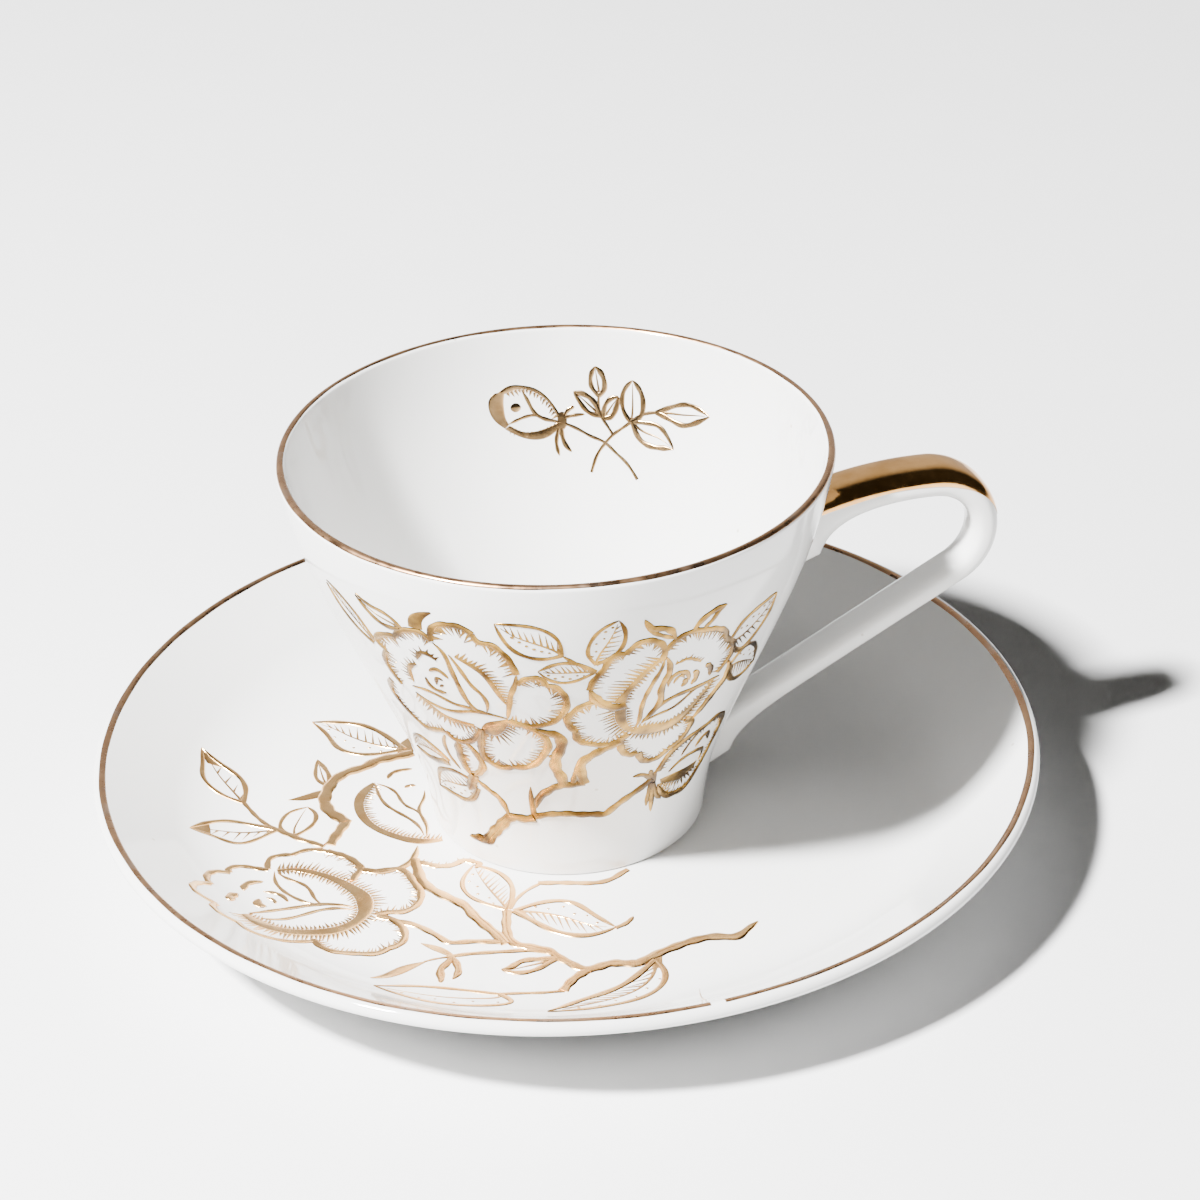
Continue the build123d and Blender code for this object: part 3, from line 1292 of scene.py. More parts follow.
def spikes(skin: Skin, ground: Ground, roots: np.ndarray, tips: np.ndarray, width: float) -> None:
    """Short strokes that run out to a point, from every root to its tip.

    Args:
        skin: the shape that takes them in.
        ground: the surface that they lie on.
        roots: where each begins.
        tips: where each ends.
        width: width at the root, in millimetres.
    """
    share = np.array([0, 0.35, 0.7, 1.0])
    line = roots[:, None] + (tips - roots)[:, None] * share[:, None]
    taper = np.broadcast_to(np.maximum(width * (1 - share) ** 0.8, LEAST_WIDTH), line.shape[:2])
    left, right = beside(ground, line, taper)
    skin.add_loops(relief(ground, left, right, SPIKE_RISE, 5), False)


def comb(skin: Skin, ground: Ground, line: np.ndarray, reach: float, chance: np.random.Generator) -> None:
    """A row of uneven teeth along a line.

    Teeth stand a pitch apart, square to the line with a slight lean, and each has a length of its own.

    Args:
        skin: the shape that takes them in.
        ground: the surface that they lie on.
        line: points of the line on the ground.
        reach: length of a tooth, negative for teeth on the right.
        chance: source of the unevenness.
    """
    scale = ground.scale(line)
    steps = np.linalg.norm(np.diff(line, axis=0) * (scale[1:] + scale[:-1]) / 2, axis=1)
    along = np.concatenate([[0.0], np.cumsum(steps)])
    count = max(int(along[-1] / TOOTH_PITCH), 2)
    places = (np.arange(count) + 0.5) / count * along[-1]
    roots = np.stack([np.interp(places, along, line[:, axis]) for axis in (0, 1)], axis=1)
    ahead = np.gradient(line, axis=0) * scale
    ahead /= np.linalg.norm(ahead, axis=1, keepdims=True) + 1e-9
    ahead = np.stack([np.interp(places, along, ahead[:, axis]) for axis in (0, 1)], axis=1)
    aside = np.stack([-ahead[:, 1], ahead[:, 0]], axis=1) * np.sign(reach)
    length = abs(reach) * chance.uniform(*TOOTH_STRETCH, (count, 1))
    lean = chance.uniform(*TOOTH_LEAN, (count, 1))
    tips = roots + (aside + ahead * lean) * length / ground.scale(roots)
    spikes(skin, ground, roots, tips, TOOTH_WIDTH)


Print = Stroke | Plate | Dots | Leaf


@dataclass(frozen=True)
class Outline:
    """A rose petal's scalloped edge: several bows of gold end to end, with teeth inside them."""

    bows: tuple[Points, ...]
    width: float = 0.85
    reach: float = 1.0

    def strokes(self) -> list[Stroke]:
        """One stroke to a bow."""
        return [Stroke(bow, self.width, Taper.NEITHER, self.reach) for bow in self.bows]


class CupPrints:
    """Prints on the cup, as (degrees round, height above the well)."""

    @staticmethod
    def left_rose() -> list[Print]:
        """The rose on the left: five petals, a heart and hatched folds.

        Returns:
            The prints, in the order in which they are laid.
        """
        crown = Outline((
            ((-144.1, 38.9), (-146.1, 43.1), (-145.3, 44.7), (-143.5, 46.3)),
            ((-143.5, 46.3), (-145.7, 47.9), (-143.3, 49.6), (-138.6, 50.7)),
            ((-138.6, 50.7), (-136.2, 52.4), (-133.5, 53.3), (-129.5, 53), (-128.7, 52.2)),
            ((-128.7, 52.4), (-127.9, 54.7), (-126.3, 55.9), (-123.2, 56.5), (-120.4, 56.3),
             (-118.7, 55.3)),
            ((-118.7, 55.3), (-117.7, 53.9), (-115.3, 53.7), (-113.1, 52.4), (-111.5, 50.6),
             (-110.4, 47.6)),
        ), 0.85, -1.3).strokes()
        right = Outline((
            ((-110.6, 45.4), (-109, 46.4), (-106.6, 47), (-104.8, 46.5), (-104.2, 45.3)),
            ((-104.2, 45.3), (-101.9, 44.9), (-100.3, 43.3), (-99.5, 41), (-100.3, 38.8)),
            ((-100.3, 38.8), (-102.3, 37.1), (-105.8, 35.9), (-110.2, 35.7), (-114.1, 36.6)),
        ), 0.85, -1.3).strokes()
        bottom = Outline((
            ((-114.5, 36.3), (-110.2, 35.4), (-107.4, 34.2), (-105.4, 32.6), (-105, 30.8),
             (-106.2, 28.8)),
            ((-106.2, 28.8), (-109, 26.3), (-112.5, 25.1), (-116.5, 24.9)),
            ((-116.5, 24.9), (-119.6, 24.3), (-122.8, 24.9), (-124.8, 26.3), (-124.8, 28.8)),
            ((-124.8, 28.8), (-123.6, 31), (-122.6, 33.5)),
        ), 1.0, -1.2).strokes()
        lower_left = Outline((
            ((-148.1, 38.5), (-150.4, 36.7), (-151.2, 34.9), (-149.6, 32.4), (-146.9, 30.6)),
            ((-146.9, 30.6), (-143.3, 29.2), (-139.4, 29.7), (-135.4, 30.4)),
            ((-135.4, 30.4), (-133.5, 29), (-131.1, 28.8), (-127.5, 29.7), (-124.8, 31.3),
             (-122.8, 33.5)),
        ), 0.9, 1.0).strokes()
        folds = [
            Stroke(((-110.4, 47.4), (-111, 45.4), (-112.5, 42.6), (-113.5, 39.7), (-114.5, 37)), 0.7),
            Stroke(((-128.3, 52), (-126.3, 49.9), (-125.8, 47.6), (-125, 43.1), (-123.2, 38.8),
                    (-120.8, 37.6)), 0.7),
            Stroke(((-125.2, 50.1), (-123.6, 47.6), (-121.2, 43.5), (-119.4, 41.7), (-118.9, 39.7),
                    (-119.6, 37.9)), 0.6),
            Stroke(((-139.8, 39.7), (-136.2, 39.9), (-132.3, 39.5), (-128.3, 38.5), (-124.8, 38.3),
                    (-119.6, 37.9)), 0.6),
            Stroke(((-139.8, 38.3), (-136.2, 37), (-132.3, 36.4), (-128.3, 36.6), (-123.6, 37.5),
                    (-114.5, 37)), 0.6),
            Plate(
                ((-123.8, 50), (-120.4, 49), (-117.6, 47.4), (-115.9, 45.2), (-114.6, 42.6),
                 (-113.9, 40.6)),
                ((-123.8, 49.6), (-120.8, 48.1), (-118.6, 46.6), (-117.2, 44.6), (-115.7, 42),
                 (-114.3, 40.4)),
                (1.0, 0.0),
            ),
            Plate(
                ((-139.6, 38.2), (-136.2, 36.5), (-133.1, 35.1), (-129.1, 34.6), (-124.4, 34.4)),
                ((-139.8, 37.9), (-136.4, 35.6), (-133.1, 34), (-129.1, 33.4), (-124.4, 33.4)),
                (0.0, -1.2),
            ),
            Plate(
                ((-114.5, 36.9), (-118.1, 36.1), (-121.4, 34.9), (-122.6, 33.7)),
                ((-114.3, 36.1), (-115.6, 34.4), (-118.6, 32.4), (-121.8, 32.4)),
                (0.0, 1.6),
            ),
        ]
        heart = [
            Stroke(((-131.9, 45.1), (-129.5, 45.9), (-127.1, 44.5)), 0.7),
            Stroke(((-133.8, 43.3), (-133.5, 41.7), (-131.1, 40.7), (-129.1, 40.8)), 0.7),
            Stroke(((-131.2, 42.2), (-130.4, 43.8), (-128.9, 43.6)), 0.5),
            Stroke(((-130.4, 41.9), (-129.2, 42.6)), 0.4),
            Stroke(((-138.4, 41), (-138.6, 42.6), (-137.6, 44.5), (-135, 45.8)), 0.7, reach=0.9),
            Stroke(((-134.2, 47), (-133.1, 48.5), (-130.7, 49), (-128.7, 48.1)), 0.7, reach=0.9),
        ]
        return crown + right + bottom + lower_left + folds + heart

    @staticmethod
    def right_rose() -> list[Print]:
        """The rose on the right, with a solid gold wedge and a toothed band below its heart.

        Returns:
            The prints, in the order in which they are laid.
        """
        upper_left = Outline((
            ((-94.2, 43.9), (-93.6, 45.5), (-92.3, 47), (-91.2, 48.2), (-90.2, 49.9), (-88.5, 51),
             (-86.6, 50.8)),
            ((-86.6, 50.8), (-85.3, 51.9), (-83.5, 52.8), (-81, 52.6), (-79, 51.6), (-77.5, 49.9)),
        ), 0.9, -1.0).strokes()
        top = Outline((
            ((-77.2, 49.8), (-75.4, 51.5), (-73.5, 52.1), (-70.5, 52.2), (-68.5, 51.7)),
            ((-68.5, 51.7), (-66, 51.2), (-63.5, 50.3), (-61.8, 49.2), (-61.2, 48)),
            ((-61.2, 48), (-60, 47), (-58.5, 46.2), (-57.3, 44.8), (-56.8, 43.4), (-58, 41.6),
             (-59.8, 40.1)),
        ), 0.85, -1.2).strokes()
        lobe = Outline((
            ((-92.2, 41), (-96, 40.2), (-98, 38.9), (-99.6, 37), (-98.8, 35.4), (-97.5, 34.2)),
            ((-97.5, 34.2), (-97, 32.3), (-95.5, 31.3), (-93.5, 30.9)),
            ((-93.5, 30.9), (-91, 30.3), (-88, 30.2), (-85, 30.9), (-83, 31.9)),
        ), 0.95, 1.2).strokes()
        bottom = Outline((
            ((-84.8, 31.5), (-84.8, 29.8), (-84.3, 28.2), (-82.5, 26.9), (-80.5, 26.4), (-78.8, 26.5)),
            ((-78.6, 26.6), (-77.8, 25.3), (-76.6, 24.3), (-74.6, 23.7), (-72.5, 23.6), (-70, 24),
             (-68.2, 25)),
            ((-68.2, 25), (-65.6, 25.6), (-63.5, 26.6), (-62.3, 28.2), (-62, 29.5), (-63.2, 30.6),
             (-65.4, 31.3)),
        ), 0.9, 1.0).strokes()
        folds = [
            Stroke(((-94.2, 43.9), (-93.4, 42.4), (-92, 41), (-90, 39.8), (-87.5, 39), (-85, 39.3)),
                   1.3, Taper.START),
            Stroke(((-56.9, 41.5), (-55.3, 39.5), (-55, 38), (-56.5, 36), (-58.2, 34.4),
                    (-60.2, 32.4), (-62.6, 30.8)), 1.2),
            Stroke(((-77.3, 48), (-77.6, 46), (-78.6, 44), (-79.6, 42), (-80.4, 40), (-80.8, 37),
                    (-81, 34), (-81.8, 33)), 0.65),
            Stroke(((-77, 48.3), (-75.8, 46.5), (-75.4, 44.3), (-76.2, 42.4), (-76.4, 40.5),
                    (-75.9, 38.6), (-76.6, 37),
                    (-78.2, 35.4), (-80, 34)), 0.9),
            Stroke(((-79.8, 34.7), (-78, 35.4), (-76.2, 36.8), (-73.5, 38), (-70, 38.5), (-66, 38.6),
                    (-58.5, 39)), 0.75),
            Stroke(((-79, 34.3), (-76, 35), (-72, 35.5), (-69, 36.6), (-66.5, 38), (-64.5, 38.4)), 0.5),
            Plate(
                ((-76.9, 50.1), (-76.7, 48.7), (-77, 47.6)),
                ((-77.9, 50), (-78.7, 48.5), (-78.2, 47.6)),
            ),
            Plate(
                ((-78.4, 48.4), (-80.8, 47.1), (-83, 45.6), (-85.4, 43.3), (-87.6, 41.1),
                 (-88.6, 40.2)),
                ((-78, 47.8), (-80, 46.4), (-82, 44.6), (-83.8, 42.7), (-84.8, 41.1), (-85.1, 39.6)),
                (-1.7, 0.6),
            ),
            Plate(
                ((-88, 38.6), (-87.6, 36.5), (-86.5, 34.6), (-84.5, 33), (-83.1, 32.3)),
                ((-84.9, 38.6), (-84.6, 36.8), (-84, 35), (-83.1, 33.7), (-82.3, 32.9)),
                (-1.6, 0.6),
            ),
            Plate(
                ((-83, 32.7), (-79.5, 33.2), (-76.5, 33), (-73, 32.5), (-69, 33), (-66.3, 34),
                 (-63.8, 35.7), (-60.2, 38.7)),
                ((-82.5, 32.1), (-80, 31.1), (-77, 30.6), (-73.5, 30.4), (-70, 30.4), (-67, 31.2),
                 (-64.3, 32.9), (-59.9, 38.2)),
                (0.5, -0.9),
            ),
        ]
        heart = [
            Stroke(((-74.3, 46), (-73, 46.3), (-71, 46.4), (-69.5, 45.9), (-68, 45.2), (-67, 44.6)),
                   0.5, reach=0.6),
            Stroke(((-65, 43.6), (-63.7, 42.7), (-62.7, 41.6), (-62.5, 40.3)), 0.8),
            Stroke(((-74.8, 41.2), (-74.6, 42.8), (-72.8, 43.8), (-71, 43.5), (-69.8, 42.7),
                    (-69, 41.3)), 0.7),
            Stroke(((-73.4, 41.6), (-72.7, 42.7), (-71.5, 42.9), (-70.7, 42.2)), 0.5),
            Stroke(((-70.6, 41.9), (-69.9, 41), (-70.9, 40.3)), 0.8),
            Stroke(((-68.4, 43), (-67.3, 42.3), (-67, 41), (-68, 40)), 0.8),
        ]
        return upper_left + top + lobe + bottom + folds + heart

    @staticmethod
    def leaves() -> list[Print]:
        """Leaves and spikes above and between the roses.

        Returns:
            The prints, in the order in which they are laid.
        """
        return [
            Leaf(((-100.3, 51.8), (-100.7, 54.5), (-103.1, 56.7), (-107.4, 57.8), (-113.6, 57.9)),
                 ((-100.3, 51.8), (-103.1, 51.2), (-107.4, 51.5), (-110.7, 53.1), (-113.6, 57.9)),
                 Side.LEFT, Side.NONE),
            Dots(((-102.8, 52.4), (-106.6, 53.4), (-110.2, 55.4)), 6),
            Stroke(((-100.3, 51.8), (-97.4, 50), (-94.1, 48.2), (-92.6, 47.2)), 0.5),
            Leaf(((-93.1, 47.8), (-98.8, 45.9), (-103.6, 46.8), (-105.6, 48.4)),
                 ((-93.1, 47.8), (-95.2, 49.1), (-100.7, 50.1), (-105.6, 48.4)), Side.RIGHT, Side.LEFT),
            Leaf(((-93, 49.4), (-94.8, 51.8), (-94.1, 54.5), (-91.7, 56.7), (-88.6, 57.9)),
                 ((-93, 49.4), (-89.3, 50.9), (-87.4, 52.8), (-87.2, 55.6), (-88.6, 57.9)),
                 Side.RIGHT, Side.LEFT),
            Stroke(((-83.2, 57.2), (-81.6, 55.3), (-78.8, 54.6), (-76.6, 53.4), (-75.5, 51.8)), 0.9),
            Stroke(((-83, 56.8), (-81.6, 54.7), (-79.4, 53.4), (-77, 52.4), (-75.5, 51.8)), 0.6),
            Stroke(((-71.6, 52.3), (-69.8, 54), (-67, 55.1), (-63.8, 55.5)), 0.9),
            Stroke(((-69, 52.2), (-67, 53.2), (-65.6, 54.6), (-63.8, 55.5)), 0.7),
            Leaf(((-58.9, 47.2), (-57.4, 49.2), (-54.2, 50.6), (-50.2, 51.2), (-46.1, 51.5)),
                 ((-57.4, 44.6), (-54.2, 42.9), (-48.5, 45.1), (-46.1, 48), (-46.1, 51.5)),
                 Side.RIGHT, Side.LEFT, 0.7),
            Leaf(((-55.2, 40.6), (-52, 42.6), (-47.5, 41.8), (-43.6, 39.2), (-40.9, 36)),
                 ((-54.6, 38.6), (-52.4, 36.4), (-49.4, 35.2), (-45, 35), (-40.9, 36)), Side.RIGHT,
                 Side.LEFT, 0.7),
            Plate(((-133.6, 54.1), (-133.1, 55.8), (-130.7, 57.5), (-127.1, 58.3)),
                  ((-129.9, 54.2), (-129.6, 55.6), (-128.5, 56.9), (-126.9, 58))),
            Leaf(((-135.8, 53.2), (-137.8, 54.6), (-140.6, 55.3), (-144.1, 55.7), (-146.9, 56.8)),
                 ((-136.2, 52.9), (-139.8, 52.4), (-142.9, 53.1), (-145.1, 54.5), (-147.2, 56.4)),
                 Side.NONE, Side.NONE, 0.6),
            Leaf(((-146.4, 47.4), (-149, 51), (-153, 53.8), (-158, 55.4)),
                 ((-147.4, 46.6), (-152, 48.4), (-156, 51.4), (-158.4, 54.8)), Side.LEFT,
                 Side.NONE, 0.6),
        ]

    @staticmethod
    def branch() -> list[Print]:
        """The thorny branch that both roses grow from.

        Returns:
            The prints, in the order in which they are laid.
        """
        return [
            Stroke(((-144, 4.5), (-141, 4.6), (-138, 4.9), (-134.5, 5.2), (-132, 6.6), (-129.5, 8),
                    (-126.5, 9.6),
                    (-123.5, 11.2), (-121, 12), (-117, 12), (-112.6, 12.4)), 1.45, Taper.START),
            Stroke(((-122.3, 12.1), (-123.3, 14.2), (-124.5, 16), (-127, 17.3), (-129.5, 18.6),
                    (-131.5, 19.8)), 0.9),
            Plate(((-113.9, 12.1), (-113.9, 15), (-113.5, 18), (-112.3, 20.2)),
                  ((-111.3, 12.2), (-111.5, 15), (-111.7, 18), (-112, 20.2))),
            Stroke(((-111.4, 14.9), (-110, 17.3), (-107.5, 18.9), (-104.5, 20.2), (-101.5, 20.8),
                    (-98.5, 20.9),
                    (-94.8, 21.3)), 1.2, Taper.START),
            Stroke(((-101.5, 21), (-102, 23), (-103.3, 25), (-103.3, 27), (-102.3, 29), (-101.3, 31),
                    (-101.7, 32.8),
                    (-104.3, 34), (-107.4, 34.9)), 1.35, Taper.END),
            Stroke(((-103.2, 27.2), (-104.6, 28.6)), 0.8, Taper.END),
            Stroke(((-94.9, 21.1), (-95.6, 22.8), (-96.2, 24.8), (-95.4, 26.5), (-93.6, 27.6),
                    (-90, 29), (-85, 30.4)),
                   1.35, Taper.NEITHER),
            Stroke(((-98.4, 20.8), (-97.8, 22.6), (-97, 24.6)), 0.8, Taper.END),
            Stroke(((-111.7, 12.9), (-108, 13.5), (-104, 13.7), (-100, 13.7), (-95, 13.3), (-90, 13),
                    (-86.5, 12.8),
                    (-84, 13.8), (-81, 15), (-77, 16.3), (-73, 17.6), (-70.9, 18.6)), 1.1,
                    Taper.NEITHER),
        ]

    @staticmethod
    def buds() -> list[Print]:
        """The bud at each end of the branch and the two leaves under the left rose.

        Returns:
            The prints, in the order in which they are laid.
        """
        return [
            Plate(((-72.6, 18.2), (-71.2, 20), (-69.4, 20.2)), ((-71.9, 17.2), (-69.8, 16.6),
                                                                (-68.6, 17.4))),
            Stroke(((-71.4, 18.8), (-74.4, 20.2), (-78.6, 20.6)), 0.7, Taper.END),
            Stroke(((-71, 19.2), (-72.4, 21)), 0.6, Taper.END),
            Stroke(((-70.6, 17.6), (-70.6, 15), (-70.3, 12.1)), 0.6, Taper.END),
            Stroke(((-70, 17.4), (-68.6, 14), (-67.6, 10.4)), 0.7, Taper.END),
            Stroke(((-69.6, 17.4), (-67.4, 14.6), (-64, 12.6)), 0.7, Taper.END),
            Stroke(((-69, 20), (-67, 23), (-63, 25), (-58, 26), (-54, 26.3), (-50, 26.9), (-46, 26.3),
                    (-43, 24.5),
                    (-42.2, 21)), 1.0, Taper.NEITHER, -0.9),
            Stroke(((-67.5, 16.5), (-64, 13.8), (-60, 12.4), (-55, 12), (-51, 12), (-47.5, 13.5),
                    (-44.5, 16),
                    (-42.4, 20.6)), 1.0, Taper.START, 0.9),
            Stroke(((-64, 18.6), (-60, 20.2), (-56, 20.6), (-51, 20.2), (-47.8, 18.8), (-48, 17)), 0.7),
            Plate(((-67, 17.6), (-60, 17.6), (-54, 17.3), (-49, 17.3)), ((-66, 16.4), (-60, 15.3),
                                                                         (-54, 14.9), (-49, 16.1)),
                  (0.0, -1.0)),
            Stroke(((-60.5, 21.5), (-58.5, 24), (-56, 25.6)), 0.5),
            Stroke(((-54.4, 21.8), (-52, 23.6), (-49.4, 23.2), (-48.2, 21.8)), 0.8),
            Stroke(((-136.4, 16.2), (-134.6, 17.6), (-132.9, 19.2), (-131.4, 20.6)), 1.3, Taper.START),
            Stroke(((-131.6, 20.3), (-128.5, 22), (-126.6, 24), (-127.2, 26.3), (-128.5, 28),
                    (-130, 29.2)), 1.0),
            Stroke(((-132.8, 20.3), (-133.9, 22.5), (-133.8, 25), (-133, 27.5), (-132.2, 28.8)),
                   1.1, Taper.BOTH, -1.1),
            Stroke(((-136.5, 21), (-138.8, 24), (-138.4, 27), (-136.4, 29.2)), 0.6),
            Dots(((-132.2, 24.4),), 1, 0.7),
            Leaf(((-132.4, 18.4), (-138, 19.6), (-145, 19), (-149, 17.8), (-155, 12.8)),
                 ((-132.2, 17.2), (-134.6, 15.2), (-139.4, 13.1), (-146, 12.9), (-155, 12.8)),
                 Side.LEFT, Side.RIGHT, 0.7),
            Leaf(((-140.6, 22), (-143.6, 23.6), (-148, 25), (-153, 24.4), (-158, 21.2)),
                 ((-141, 21.4), (-145, 20.9), (-149, 20.3), (-154, 20.2), (-158, 20.8)), Side.LEFT,
                 Side.NONE, 0.9),
        ]

    @staticmethod
    def inner_sprig() -> list[Print]:
        """The small bud and its leaves on the inside wall.

        Returns:
            The prints, in the order in which they are laid.
        """
        return [
            Plate(((94.4, 54.9), (96.2, 53.7), (96.2, 52), (95, 50.4), (92.8, 49.1)),
                  ((91.7, 55), (92.2, 53.5), (92.3, 52), (92.1, 50.6), (91.5, 49.7))),
            Plate(((92.8, 49), (89, 47.5), (85, 46.8), (81.5, 47.2), (79, 48.3)),
                  ((91.4, 49.5), (88.5, 48.4), (85, 48.2), (81.8, 48.7), (78.8, 49.6)), (0.0, 0.7)),
            Plate(((93.6, 54.9), (91, 55.8), (87.5, 55.7), (84, 54.9), (81.5, 53.5), (78.6, 50.8)),
                  ((91.6, 54.6), (89.4, 55), (86.5, 54.9), (84, 54.1), (81.6, 52.8), (79.2, 50.2)),
                  (0.0, 0.6)),
            Dots(((89.5, 52.2),), 1, 0.85),
            Stroke(((87.8, 55), (86.3, 53), (85, 51.2), (83, 50.2), (80.5, 49.7), (78.4, 49.4)), 0.5),
            Stroke(((91.8, 49.7), (89, 50.3), (86.5, 50.7), (84, 50.6), (82, 49.9)), 0.4),
            Plate(((79.2, 50.9), (77.7, 51.1), (76.9, 50.4)), ((79.4, 48.2), (78, 48), (76.9, 48.8))),
            Stroke(((77.4, 50.6), (76.4, 51.4), (75, 51.9)), 0.5, Taper.END),
            Stroke(((77.2, 50.2), (75, 50.5), (72.4, 50.7)), 0.45, Taper.END),
            Stroke(((79, 48.4), (79.7, 46.4), (79, 44.2)), 0.5, Taper.END),
            Stroke(((78.4, 48.4), (77.6, 46.2), (75.7, 44.8)), 0.6, Taper.END),
            Stroke(((77.3, 49.2), (74, 48.3), (70.4, 47.2), (67, 46.4), (64.2, 45.1), (60.8, 43.6),
                    (57.2, 41.3)), 0.42,
                   Taper.NEITHER),
            Stroke(((70.3, 41.7), (68.9, 44.4), (66.9, 46.3), (64.8, 47.8), (62.8, 48.8), (60.5, 50)),
                   0.42, Taper.NEITHER),
            Stroke(((65.1, 47.8), (67, 49.4), (68.5, 50.8), (69, 53.9)), 0.4, Taper.NEITHER),
            Stroke(((60.6, 49.9), (57.6, 51.4), (54.2, 52.1)), 0.45, Taper.NEITHER),
            Leaf(((69, 53.8), (70.9, 55.4), (71, 56.8), (70, 58.5)), ((69, 53.8), (67.7, 54.8),
                                                                      (67.9, 56.6), (70, 58.5)),
                 Side.NONE, Side.NONE, 0.6),
            Leaf(((68.4, 50.5), (71.8, 51.2), (73.4, 52.4), (75.2, 54.3)), ((68.4, 50.5),
                                                                            (69.8, 52.4),
                                                                            (71.8, 53.6), (75.2, 54.3)),
                 Side.NONE, Side.NONE, 0.6),
            Leaf(((67.5, 50.2), (67.5, 51.8), (66.6, 53), (64, 53.8)), ((67.5, 50.2), (65.4, 50.7),
                                                                        (64.5, 52), (64, 53.8)),
                 Side.NONE, Side.NONE, 0.6),
            Leaf(((60.6, 50), (62.8, 52), (63, 54.4), (60.8, 56.7)), ((60.6, 50), (57.9, 51.4),
                                                                      (57.9, 53.8), (60.8, 56.7)),
                 Side.NONE, Side.NONE, 0.6),
            Leaf(((54.2, 52.1), (50.4, 53.4), (46, 54.4), (42.8, 54.2), (39.4, 53.6)),
                 ((54.2, 52.1), (50, 51.4), (46.6, 51), (43.4, 51.8), (39.4, 53.6)), Side.NONE,
                 Side.NONE, 0.6),
            Leaf(((60.2, 50), (56, 50.2), (52.4, 49.8), (50.2, 48.6), (48, 47)),
                 ((60.2, 50), (58.2, 47.8), (54.6, 46.7), (51, 46.8), (48, 47)), Side.NONE,
                 Side.NONE, 0.6),
        ]


